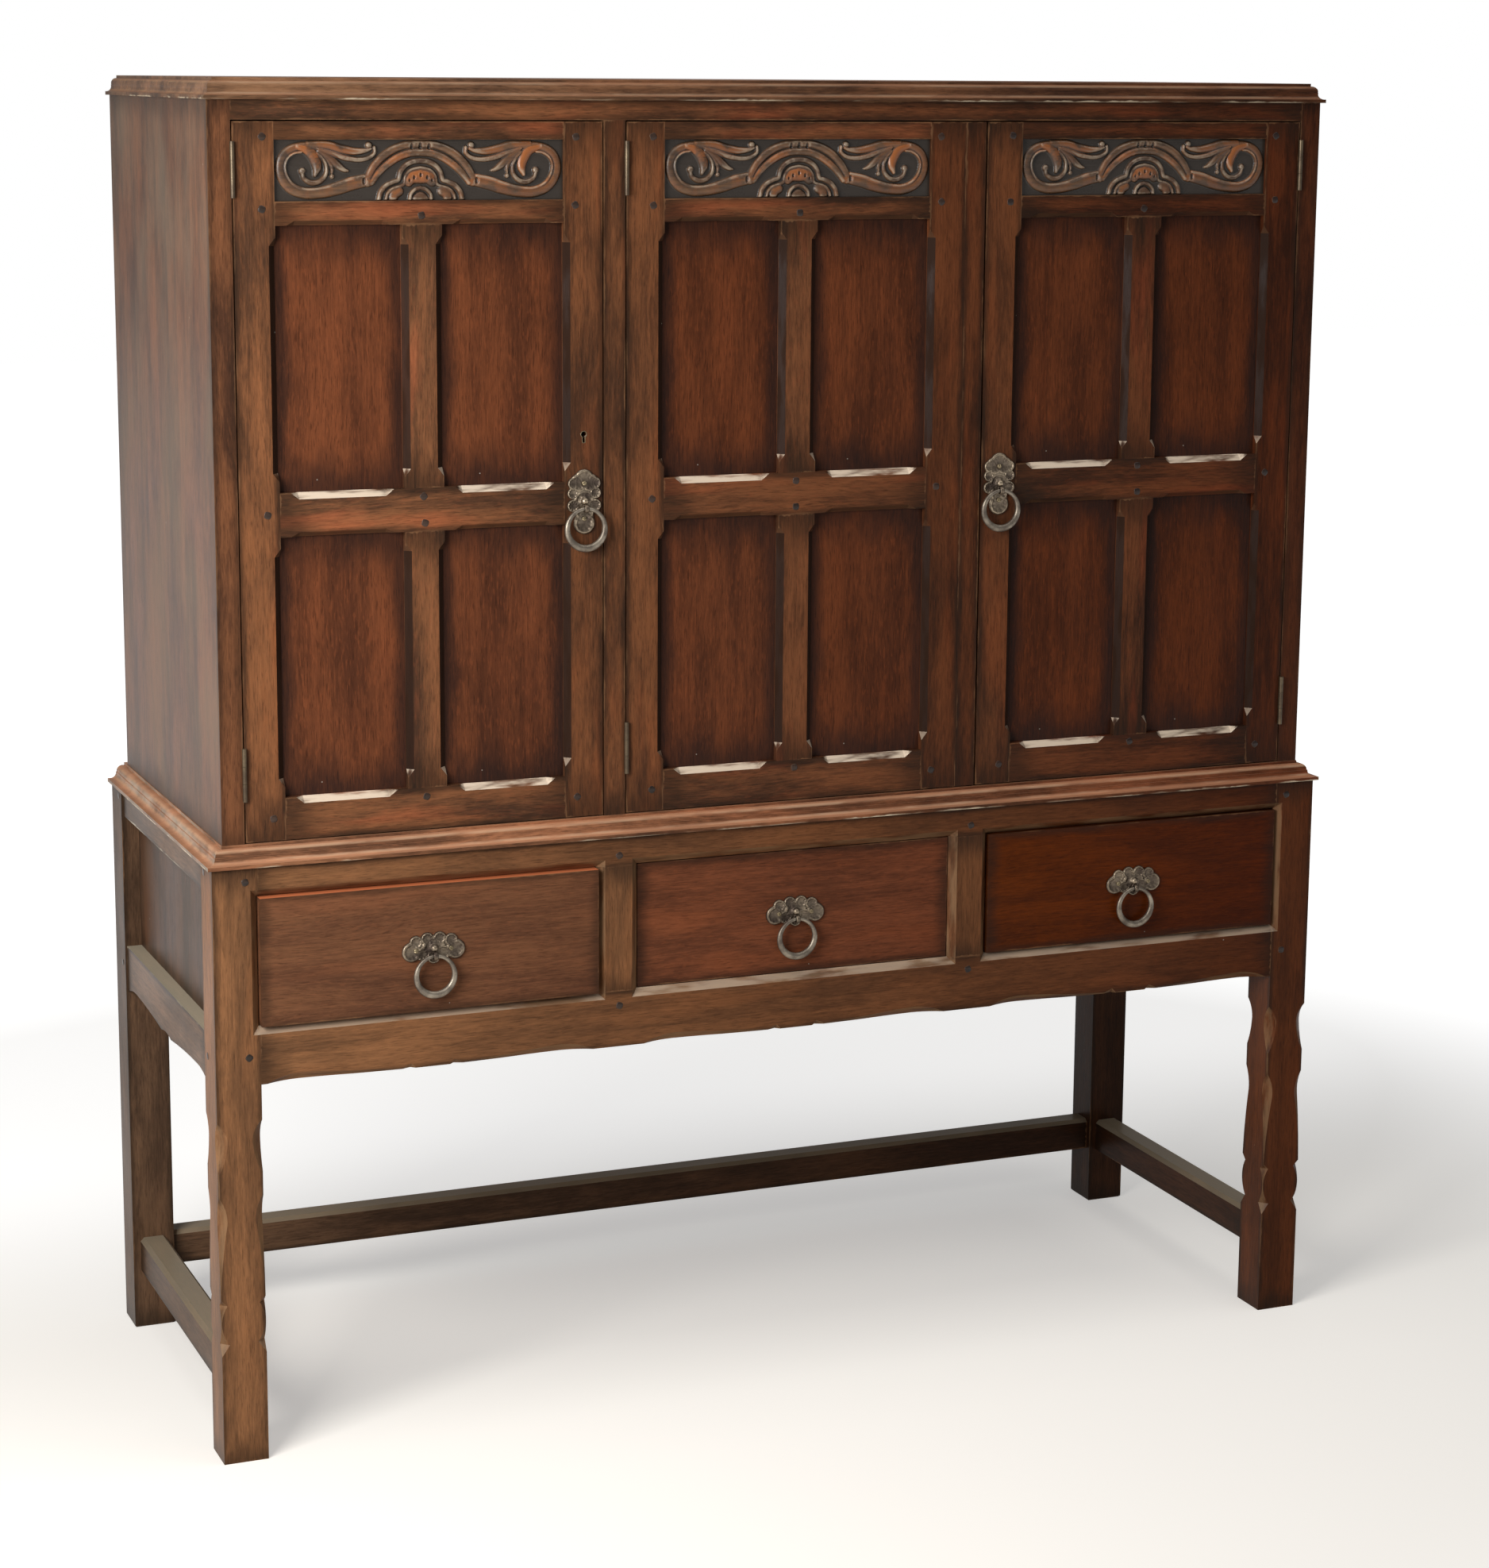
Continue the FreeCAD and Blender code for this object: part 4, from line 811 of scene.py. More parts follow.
class Boards:
    """The separate solids of a piece, with the attributes that its grain, wear, tone and painted light are
    drawn from.
    """

    places_to_a_metre = 1e5
    even = 0.5
    # The tone falls to the right as painted shade, darker where the cupboard takes less light.
    painted_light_fall = 0.7
    seed_fall = 0.65
    chance = 0.12

    def __init__(self, piece: bpy.types.Object) -> None:
        """Args:
            piece: A mesh object whose place is in its mesh.
        """
        self.piece = piece
        mesh = piece.data
        points = self.read(mesh.vertices, "co", float, 3).reshape(-1, 3)
        self.at = points[self.read(mesh.loops, "vertex_index")]
        starts = self.read(mesh.polygons, "loop_start")
        counts = self.read(mesh.polygons, "loop_total")
        self.faces = [range(start, start + count) for start, count in zip(starts, counts)]
        self.boards = self.split()

    @staticmethod
    def read(
        items: bpy.types.bpy_prop_collection, name: str, kind: type = np.int64, width: int = 1
    ) -> np.ndarray:
        """One property of every item, as numbers in one row."""
        values = np.empty(len(items) * width, dtype=kind)
        items.foreach_get(name, values)
        return values

    def split(self) -> list[Board]:
        """Sorts the faces into solids, which are joined where exactly two faces share an edge."""
        places = np.round(self.at * self.places_to_a_metre).astype(np.int64)
        keys = np.unique(places, axis=0, return_inverse=True)[1].ravel()
        edges: dict[tuple[int, int], list[int]] = {}
        for face, corners in enumerate(self.faces):
            ends = [int(keys[corner]) for corner in corners]
            for first, second in zip(ends, ends[1:] + ends[:1]):
                edges.setdefault((min(first, second), max(first, second)), []).append(face)
        owner = list(range(len(self.faces)))

        def root(face: int) -> int:
            """The face that stands for this face's solid."""
            while owner[face] != face:
                owner[face] = owner[owner[face]]
                face = owner[face]
            return face

        for sharing in edges.values():
            if len(sharing) == 2:
                owner[root(sharing[0])] = root(sharing[1])
        solids: dict[int, list[int]] = {}
        for face, corners in enumerate(self.faces):
            solids.setdefault(root(face), []).extend(corners)
        boards = []
        for corners in solids.values():
            places = self.at[corners]
            boards.append(Board(places.min(axis=0), places.max(axis=0), np.array(corners)))
        return sorted(boards, key=lambda board: tuple(board.middle.round(4)))

    def mark(self, grain: int | None = None) -> None:
        """Writes each corner's place in its board, the board's half size, its tone and its seed.

        Tone and seed fall to the right and differ a little from board to board; the tone's fall is painted
        shade.

        Args:
            grain: The axis that the grain follows, or None for each board's longest.
        """
        at = np.zeros_like(self.at)
        half = np.zeros_like(self.at)
        tone = np.zeros(len(self.at))
        seed = np.zeros(len(self.at))
        for number, board in enumerate(self.boards):
            order = np.argsort(-board.half)
            if grain is not None:
                order = np.array([grain] + [axis for axis in order if axis != grain])
            at[board.corners] = (self.at[board.corners] - board.middle)[:, order]
            half[board.corners] = board.half[order]
            chance = random.Random(f"{self.piece.name} {number}").uniform(-self.chance, self.chance)
            # The tone falls to the right as painted shade, with a little random tone from board to board.
            tone[board.corners] = self.even - self.painted_light_fall * self.at[board.corners, 0] + chance
            seed[board.corners] = self.even - self.seed_fall * board.middle[0] + chance
        self.write("board_at", "FLOAT_VECTOR", at)
        self.write("board_half", "FLOAT_VECTOR", half)
        self.write("board_tone", "FLOAT", np.clip(tone, 0, 1))
        self.write("board_seed", "FLOAT", seed)

    def write(self, name: str, kind: str, values: np.ndarray) -> None:
        """Adds one attribute to the mesh's corners."""
        attribute = self.piece.data.attributes.new(name, kind, "CORNER")
        attribute.data.foreach_set("vector" if kind == "FLOAT_VECTOR" else "value", values.ravel())


# Meshes made here

class Gathering:
    """Closed solids that become one mesh object."""

    def __init__(self, name: str) -> None:
        """Args:
            name: The object's name.
        """
        self.name = name
        self.points: list[np.ndarray] = []
        self.faces: list[tuple[int, ...]] = []
        self.values: dict[str, list[tuple[int, np.ndarray]]] = {}
        self.count = 0

    def add(self, points: np.ndarray, faces: Iterable[Sequence[int]], **values: np.ndarray) -> None:
        """Adds one solid.

        Args:
            points: Its vertices in metres, in the frame.
            faces: Its faces, as places in points.
            values: Numbers for each vertex, which become attributes; solids without them have 0.
        """
        self.points.append(points)
        self.faces.extend(tuple(corner + self.count for corner in face) for face in faces)
        for name, numbers in values.items():
            self.values.setdefault(name, []).append((self.count, numbers))
        self.count += len(points)

    def build(self, smooth: bool = True) -> bpy.types.Object:
        """Makes the object.

        Args:
            smooth: Whether its faces are shaded as one curved surface.

        Returns:
            The object, in the scene.
        """
        mesh = bpy.data.meshes.new(self.name)
        mesh.from_pydata(np.concatenate(self.points).tolist(), [], self.faces)
        mesh.polygons.foreach_set("use_smooth", [smooth] * len(mesh.polygons))
        for name, runs in self.values.items():
            whole = np.zeros(self.count)
            for start, numbers in runs:
                whole[start:start + len(numbers)] = numbers
            mesh.attributes.new(name, "FLOAT", "POINT").data.foreach_set("value", whole)
        mesh.validate()
        piece = bpy.data.objects.new(self.name, mesh)
        bpy.context.scene.collection.objects.link(piece)
        return piece


@dataclass(frozen=True)
class Seat:
    """Where a flat-backed piece lies: a point of its back, and the directions across, up and out."""

    origin: Vector
    across: Vector = RIGHT
    up: Vector = UP
    out: Vector = OUT

    def points(self, across: np.ndarray, up: np.ndarray, out: np.ndarray) -> np.ndarray:
        """Places of points given along the seat's three directions, in metres."""
        columns = (across.reshape(-1, 1), up.reshape(-1, 1), out.reshape(-1, 1))
        directions = (self.across, self.up, self.out)
        return np.array(self.origin) + sum(c * np.array(d) for c, d in zip(columns, directions))


def round_relief(
    gathering: Gathering, seat: Seat, reach: Callable[[np.ndarray], np.ndarray],
    height: Callable[[np.ndarray, np.ndarray], np.ndarray], spokes: int, rings: int,
    worn: Callable[[np.ndarray, np.ndarray], np.ndarray] | None = None
) -> None:
    """Adds a flat-backed solid whose outline is seen whole from its middle.

    Args:
        gathering: What the solid joins.
        seat: Where its back lies.
        reach: The outline's distance from the middle at each angle, in metres.
        height: How far the face stands from the back at each point, in metres.
        spokes: How many points the outline has.
        rings: How many rings of points the face has.
        worn: How rubbed the face is at each point, from 0 to 1.
    """
    angles = np.linspace(0, math.tau, spokes, endpoint=False)
    shares = np.linspace(0, 1, rings + 1)[1:] ** RIM_CROWDING
    across, up = (
        np.append(0.0, np.outer(shares, reach(angles) * turn(angles))) for turn in (np.cos, np.sin)
    )
    front = seat.points(across, up, height(across, up))
    rim = slice(1 + (rings - 1) * spokes, None)
    back = seat.points(across[rim], up[rim], np.zeros(spokes))
    faces: list[tuple[int, ...]] = []
    step = [(spoke, (spoke + 1) % spokes) for spoke in range(spokes)]
    faces.extend((0, 1 + here, 1 + after) for here, after in step)
    for ring in range(rings - 1):
        inner = 1 + ring * spokes
        outer = inner + spokes
        faces.extend((inner + here, outer + here, outer + after, inner + after) for here, after in step)
    edge = 1 + (rings - 1) * spokes
    wall = edge + spokes
    faces.extend((edge + here, wall + here, wall + after, edge + after) for here, after in step)
    faces.append(tuple(range(wall + spokes - 1, wall - 1, -1)))
    values = {} if worn is None else {"metal_worn": np.append(worn(across, up), np.zeros(spokes))}
    gathering.add(np.concatenate([front, back]), faces, **values)


def closed_sweep(
    gathering: Gathering, seat: Seat, path: np.ndarray, widths: np.ndarray, heights: np.ndarray, sides: int
) -> None:
    """Adds a hoop: an oval section carried round a closed path.

    Args:
        gathering: What the hoop joins.
        seat: Where the path lies.
        path: The path's points across and up, in metres.
        widths: Half the section in the path's plane, at each point.
        heights: Half the section out of that plane.
        sides: How many points the section has.
    """
    ahead = np.roll(path, -1, axis=0) - np.roll(path, 1, axis=0)
    ahead /= np.linalg.norm(ahead, axis=1, keepdims=True)
    aside = np.stack([ahead[:, 1], -ahead[:, 0]], axis=1)
    turns = np.linspace(0, math.tau, sides, endpoint=False)
    flat = path[:, None] + aside[:, None] * (widths[:, None] * np.cos(turns))[..., None]
    out = heights[:, None] * np.sin(turns)
    points = seat.points(flat[..., 0].ravel(), flat[..., 1].ravel(), out.ravel())
    faces = []
    total = len(path)
    for here in range(total):
        there = (here + 1) % total
        for side in range(sides):
            after = (side + 1) % sides
            near, far = here * sides, there * sides
            faces.append((near + side, far + side, far + after, near + after))
    gathering.add(points, faces)


def smooth_line(points: Sequence[tuple[float, ...]], steps: int) -> np.ndarray:
    """A smooth curve through points.

    Args:
        points: The points, with any number of values each.
        steps: How many short runs there are between two points.

    Returns:
        The curve's points.
    """
    given = np.array(points, dtype=float)
    padded = np.vstack([2 * given[0] - given[1], given, 2 * given[-1] - given[-2]])
    shares = np.linspace(0, 1, steps, endpoint=False)[:, None]
    runs = []
    for first, start, end, last in zip(padded, padded[1:], padded[2:], padded[3:]):
        runs.append(0.5 * (
            2 * start + (end - first) * shares
            + (2 * first - 5 * start + 4 * end - last) * shares ** 2
            + (3 * start - first - 3 * end + last) * shares ** 3
        ))
    return np.vstack([*runs, given[-1:]])


def rise(value: np.ndarray, low: float, high: float) -> np.ndarray:
    """Rises smoothly from 0 at low to 1 at high."""
    share = np.clip((value - low) / (high - low), 0, 1)
    return share * share * (3 - 2 * share)


# Door friezes

@dataclass(frozen=True)
class Band:
    """One carved band: points of its middle line as (across, up, half width), in millimetres.

    Across is counted from the frieze's middle. The flatter its back, the nearer flat is to 0.
    """

    line: tuple[tuple[float, float, float], ...]
    height: float = 3.2
    flat: float = 0.5
    warmth: float = 0.3


@dataclass
class Frieze:
    """The carved board at the head of a door: two leaf scrolls and an arch over a flower."""

    width: float = 319.0
    height: float = 63.5
    tongue: float = 7.0
    pitch: float = 0.62
    swell: float = 1.14
    ground: float = 1.0
    full_height: float = 3.6
    pit_depth: float = 2.2
    pit_squash: float = 0.55
    crest_reach: float = 2.4
    crest_height: float = 1.2
    plain: float = 0.5
    bands: tuple[Band, ...] = (
        # Scroll
        Band(((-58, 21, 5.6), (-75, 17.5, 6.2), (-91, 12.6, 6), (-108.6, 9, 5.6), (-126, 8.4, 5.4),
              (-141, 13.4, 5.2), (-149.6, 24, 5), (-152, 36, 4.8), (-148.4, 47, 4.6), (-139, 54, 4.5),
              (-125, 57, 4.2), (-112, 57, 3.6)), 3.7, 0.6, 0.35),
        Band(((-62, 25, 2.6), (-77, 22, 2.8), (-92, 17, 2.6), (-108, 13, 2.2), (-125, 12.2, 1.9),
              (-137.6, 17, 1.7), (-144.8, 26, 1.5), (-147, 36.4, 1.4), (-143.8, 44.6, 1.4),
              (-136.8, 49.4, 1.4), (-129, 50.5, 1)), 4.3, 0.6, 0.8),
        Band(((-134, 56, 3.6), (-122, 53, 5.4), (-115, 44, 5.6), (-112.6, 35, 4.6), (-115, 26.5, 1.8)),
             4.3, 0.65, 1.0),
        Band(((-129, 31, 2.2), (-126.5, 23.4, 2.4), (-118.4, 18.9, 2.7), (-109.5, 20.6, 2.7),
              (-103.2, 27.6, 2.4), (-102.6, 37, 2.1), (-107, 45, 1.9), (-112, 50, 1.5)), 3.8, 0.6, 0.05),
        Band(((-128.6, 31, 3.4), (-128.4, 31.1, 3.4)), 4.4, 0.5, 0.1),
        Band(((-96.4, 25.4, 2.4), (-96.3, 25.3, 2.4)), 3.4, 0.5, 0.1),
        # Leaves
        Band(((-122, 58.4, 3.6), (-102, 57.6, 4.4), (-87, 53.8, 4.4), (-73, 51.4, 3.8), (-61, 52, 2.6),
              (-54, 54, 1.4)), 3.9, 0.6, 0.65),
        Band(((-112, 54.5, 2), (-96.3, 49.6, 3), (-82.2, 44.8, 3), (-68.2, 42.6, 2.6), (-57, 44.4, 2.3),
              (-50.4, 49.4, 2.1), (-50.4, 55, 2.1)), 3.9, 0.6, 0.35),
        Band(((-56.4, 57.4, 3.4), (-56.2, 57.4, 3.4)), 4.2, 0.5, 0.1),
        Band(((-110, 52, 3), (-99, 45, 4), (-91, 37.6, 3.8), (-84, 32.6, 2.6), (-79, 31, 1.2)),
             3.5, 0.6, 0.15),
        Band(((-108, 50, 2), (-100, 41.5, 2.8), (-96.4, 34, 2.2), (-96.6, 29, 1.2)), 3.1, 0.6, 0.1),
        # Arch
        Band(((-58, 24, 4), (-50, 37, 4), (-36.4, 49.4, 4.2), (-19, 57, 4), (0, 59, 3.8)), 4.0, 0.6, 0.45),
        Band(((-54, 19, 3.4), (-43, 32, 3.8), (-27.6, 43.4, 4), (-13, 49.2, 4), (0, 50.4, 4)), 3.9, 0.6, 0.9),
        Band(((-64, 21, 5), (-58, 20, 5.4)), 3.9, 0.6, 0.7),
        # Flower
        Band(((-46, 1, 2.6), (-43.8, 9, 2.7), (-38, 15.6, 2.7), (-30, 19.4, 2.6), (-24.6, 21.6, 2.6),
              (-22, 29.6, 2.7), (-16.4, 36.4, 2.8), (-8.2, 40.4, 2.8), (0, 41.4, 2.8)), 3.9, 0.6, 0.1),
        Band(((-38, 1, 1.8), (-36, 7.6, 1.9), (-30.4, 12.6, 1.9), (-18.6, 16.6, 1.9), (-16.6, 25, 1.9),
              (-10.6, 31.6, 2), (0, 34.2, 2)), 2.8, 0.6, 0.15),
        Band(((-13, 19.6, 5), (-8.6, 24.4, 6.4), (0, 25.6, 7.6)), 3.7, 0.65, 1.0),
        Band(((-30, 3, 4.6), (-28.6, 7, 5.2), (-23.6, 9.4, 4.6)), 3.1, 0.6, 0.65),
        Band(((-12, 0.5, 2.1), (-10.6, 6.8, 2.1), (-6, 11.4, 2.1), (0, 13.2, 2.1)), 3.7, 0.6, 0.1),
        Band(((-4, 1, 5), (0, 2.4, 6.4)), 3.2, 0.6, 0.5),
    )
    pits: tuple[tuple[float, float, float], ...] = (
        (-9.5, 56.4, 2.2), (0, 57, 2.6), (-62, 20.4, 2.6), (0, 26.4, 1.7), (-7.2, 24, 1.6), (-12.4, 21, 1.3),
    )

    def surface(self) -> tuple[np.ndarray, ...]:
        """Works out the carved face.

        Returns:
            Grids of across and up in millimetres, the face's height over the ground, how sharply it stands
            out from what is round it, and how rubbed it is.
        """
        far = self.width / 2 + self.tongue
        across = np.linspace(-far, far, round(2 * far / self.pitch) + 1)
        tall = self.height + 2 * self.tongue
        up = np.linspace(-self.tongue, self.height + self.tongue, round(tall / self.pitch) + 1)
        grid_across, grid_up = np.meshgrid(across, up)
        relief = np.zeros_like(grid_across)
        warmth = np.zeros_like(grid_across)
        mirrored = -np.abs(grid_across)
        for band in self.bands:
            face = self.band_height(band, mirrored, grid_up)
            warmth = np.where(face > relief, band.warmth, warmth)
            relief = np.maximum(relief, face)
        for middle, level, radius in self.pits:
            gap = np.hypot(mirrored - middle, (grid_up - level) * self.pit_squash)
            relief -= self.pit_depth * (1 - rise(gap, 0.4 * radius, radius)) * (relief > 0.4)
        inside = np.minimum(np.minimum(grid_up, self.height - grid_up), self.width / 2 + mirrored)
        relief = np.maximum(relief, 0) * rise(inside, 0.2, 1.2)
        wide = self.blurred(relief, round(self.crest_reach / self.pitch))
        crest = np.clip(self.plain + (self.blurred(relief, 1) - wide) / self.crest_height, 0, 1)
        return grid_across, grid_up, relief, crest, warmth

    def band_height(self, band: Band, across: np.ndarray, up: np.ndarray) -> np.ndarray:
        """How high one band stands at each point of the grid, in millimetres."""
        line = smooth_line(band.line, steps=14)
        best = np.full(across.shape, 9.0)
        for middle, level, half in line:
            gap = np.hypot(across - middle, up - level) / (half * self.swell)
            best = np.minimum(best, gap)
        dome = np.clip(1 - best ** 2, 0, 1) ** band.flat
        return band.height * dome

    @staticmethod
    def blurred(values: np.ndarray, reach: int) -> np.ndarray:
        """A grid averaged over a few points each way."""
        result = values
        for axis in (0, 1):
            padded = np.pad(result, [(reach, reach) if axis == side else (0, 0) for side in (0, 1)], "edge")
            size = result.shape[axis]
            rolled = [np.take(padded, range(start, start + size), axis) for start in range(2 * reach + 1)]
            result = sum(rolled) / len(rolled)
        return result

    def build(self, door: int) -> bpy.types.Object:
        """Carves one door's frieze.

        Args:
            door: The door's number.

        Returns:
            The carved board, which stands for the plain CAD one.
        """
        node = f"door_{door}_frieze"
        low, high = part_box(node)
        across, up, relief, crest, warmth = self.surface()
        middle = (low[0] + high[0]) / 2
        stretch = (high[0] - low[0]) / (self.width + 2 * self.tongue)
        seat = Seat(Vector((middle, low[1], low[2] + self.tongue * MM)))
        rows, columns = across.shape
        face = (relief - self.ground) * MM
        points = seat.points(across * stretch, up * MM, face)
        number = np.arange(rows * columns).reshape(rows, columns)
        quads = np.stack([number[:-1, :-1], number[:-1, 1:], number[1:, 1:], number[1:, :-1]], axis=-1)
        faces = [tuple(quad) for quad in quads.reshape(-1, 4).tolist()]
        edge = [*number[0, :], *number[1:, -1], *number[-1, -2::-1], *number[-2:0:-1, 0]]
        wall = points[edge].copy()
        wall[:, 1] = high[1]
        first = rows * columns
        total = len(edge)
        for place, corner in enumerate(edge):
            after = (place + 1) % total
            faces.append((int(corner), first + place, first + after, int(edge[after])))
        faces.append(tuple(range(first + total - 1, first - 1, -1)))
        gathering = Gathering(f"door_{door}_carving")
        uncut = np.full(total, self.plain)
        gathering.add(
            np.vstack([points, wall]), faces,
            carved_rise=np.concatenate([relief.ravel() / self.full_height, uncut]),
            carved_crest=np.concatenate([crest.ravel(), uncut]),
            carved_warmth=np.concatenate([warmth.ravel(), np.zeros(total)]),
        )
        piece = gathering.build()
        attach(piece, f"door_{door}")
        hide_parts(node)
        return piece


# Pegs

def boards_of(node: str, thinnest: float = 1 * MM) -> list[Board]:
    """The boards of a CAD node whose half thickness is over the thinnest."""
    return [board for board in Boards(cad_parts[node]).boards if board.half.min() > thinnest]


@dataclass
class Pegs:
    """Oak pegs through the mortise and tenon joints, left a little proud."""

    radius: float = 4.2 * MM
    proud: float = 0.8 * MM
    sunk: float = 1.5 * MM
    setback: float = 13.0 * MM
    rail_setback: float = 9.0 * MM
    wander: float = 1.2 * MM
    squareness: float = 0.07
    proud_range: tuple[float, float] = (0.6, 1.2)
    leg_half: float = 10.0 * MM
    side_lift: float = 6.0 * MM
    muntin_below: float = 17.0 * MM
    muntin_above: float = 12.0 * MM
    rail_shares: tuple[float, ...] = (0.5, 0.5, 0.72, 0.15)

    def add(self, gathering: Gathering, place: Vector, out: Vector = OUT) -> None:
        """Adds one peg's head.

        Args:
            gathering: The pegs of one body.
            place: The middle of the head on the wood's face.
            out: The direction that the face looks.
        """
        number = random.Random(f"{gathering.name} {gathering.count}")
        turn = number.uniform(0, math.tau)
        wander = Vector((number.uniform(-1, 1), 0, number.uniform(-1, 1))) * self.wander
        if abs(out.x) > 0.5:
            wander = Vector((0, wander.x, wander.z))
        seat = Seat(place - out * self.sunk + wander, UP.cross(out), UP, out)
        proud = self.proud * number.uniform(*self.proud_range)

        def reach(angle: np.ndarray) -> np.ndarray:
            """A rounded square, turned as the peg was driven."""
            return self.radius * (1 + self.squareness * np.cos(4 * (angle - turn)))

        def height(across: np.ndarray, up: np.ndarray) -> np.ndarray:
            """A low dome."""
            share = np.hypot(across, up) / self.radius
            return self.sunk + proud * (1 - np.clip(share, 0, 1) ** 3)

        round_relief(gathering, seat, reach, height, spokes=24, rings=6)

    def finish(self, gathering: Gathering, body: str) -> bpy.types.Object:
        """Makes one body's pegs.

        Args:
            gathering: The pegs.
            body: The body that they ride on.

        Returns:
            The pegs as one piece.
        """
        piece = gathering.build()
        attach(piece, body)
        return piece

    def on_door(self, door: int) -> bpy.types.Object:
        """Pegs of one door's frame: one in a stile at each rail, and one in a rail at each muntin's end.

        Args:
            door: The door's number.

        Returns:
            The pegs as one piece.
        """
        gathering = Gathering(f"door_{door}_pegs")
        stiles = boards_of(f"door_{door}_stiles")
        parts = boards_of(f"door_{door}_rails")
        rails = [part for part in parts if part.half[0] > part.half[2]]
        rails.sort(key=lambda rail: rail.middle[2])
        muntins = [part for part in parts if part.half[0] <= part.half[2]]
        front = stiles[0].low[1]
        for rail, share in zip(rails, self.rail_shares):
            level = rail.low[2] + share * (rail.high[2] - rail.low[2])
            for stile in stiles:
                inward = 1 if stile.middle[0] < rail.middle[0] else -1
                edge = stile.high[0] if inward == 1 else stile.low[0]
                self.add(gathering, Vector((edge - inward * self.setback, front, level)))
        for muntin in muntins:
            for end, away in ((muntin.low[2], -1), (muntin.high[2], 1)):
                place = Vector((muntin.middle[0], front, end + away * self.rail_setback))
                self.add(gathering, place)
        return self.finish(gathering, f"door_{door}")

    def on_stand(self) -> bpy.types.Object:
        """Pegs of the stand: in the legs at each rail, and in the front rails at the drawer muntins.

        Returns:
            The pegs as one piece.
        """
        gathering = Gathering("stand_pegs")
        legs = {name: boards_of(name, self.leg_half) for name in ("front_legs", "back_legs")}
        front_rails = [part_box("front_top_rail"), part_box("front_apron")]
        side_rails = [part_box("side_top_rails"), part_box("side_aprons")]
        for leg in legs["front_legs"]:
            inward = 1 if leg.middle[0] < 0 else -1
            edge = leg.high[0] if inward == 1 else leg.low[0]
            for low, high in front_rails:
                level = (low[2] + high[2]) / 2
                self.add(gathering, Vector((edge - inward * self.setback, leg.low[1], level)))
        for name, toward in (("front_legs", 1), ("back_legs", -1)):
            for leg in legs[name]:
                outward = -1 if leg.middle[0] < 0 else 1
                face = leg.low[0] if outward < 0 else leg.high[0]
                edge = leg.high[1] if toward == 1 else leg.low[1]
                for low, high in side_rails:
                    level = (low[2] + high[2]) / 2 + self.side_lift
                    place = Vector((face, edge - toward * self.setback, level))
                    self.add(gathering, place, Vector((outward, 0, 0)))
        for muntin in boards_of("drawer_muntins"):
            for level in (muntin.low[2] - self.muntin_below, muntin.high[2] + self.muntin_above):
                self.add(gathering, Vector((muntin.middle[0], muntin.low[1], level)))
        return self.finish(gathering, "frame")


# Pull plates

@dataclass(frozen=True)
class Lobe:
    """A round lobe of a plate, in millimetres from the ring's boss."""

    across: float
    up: float
    radius: float


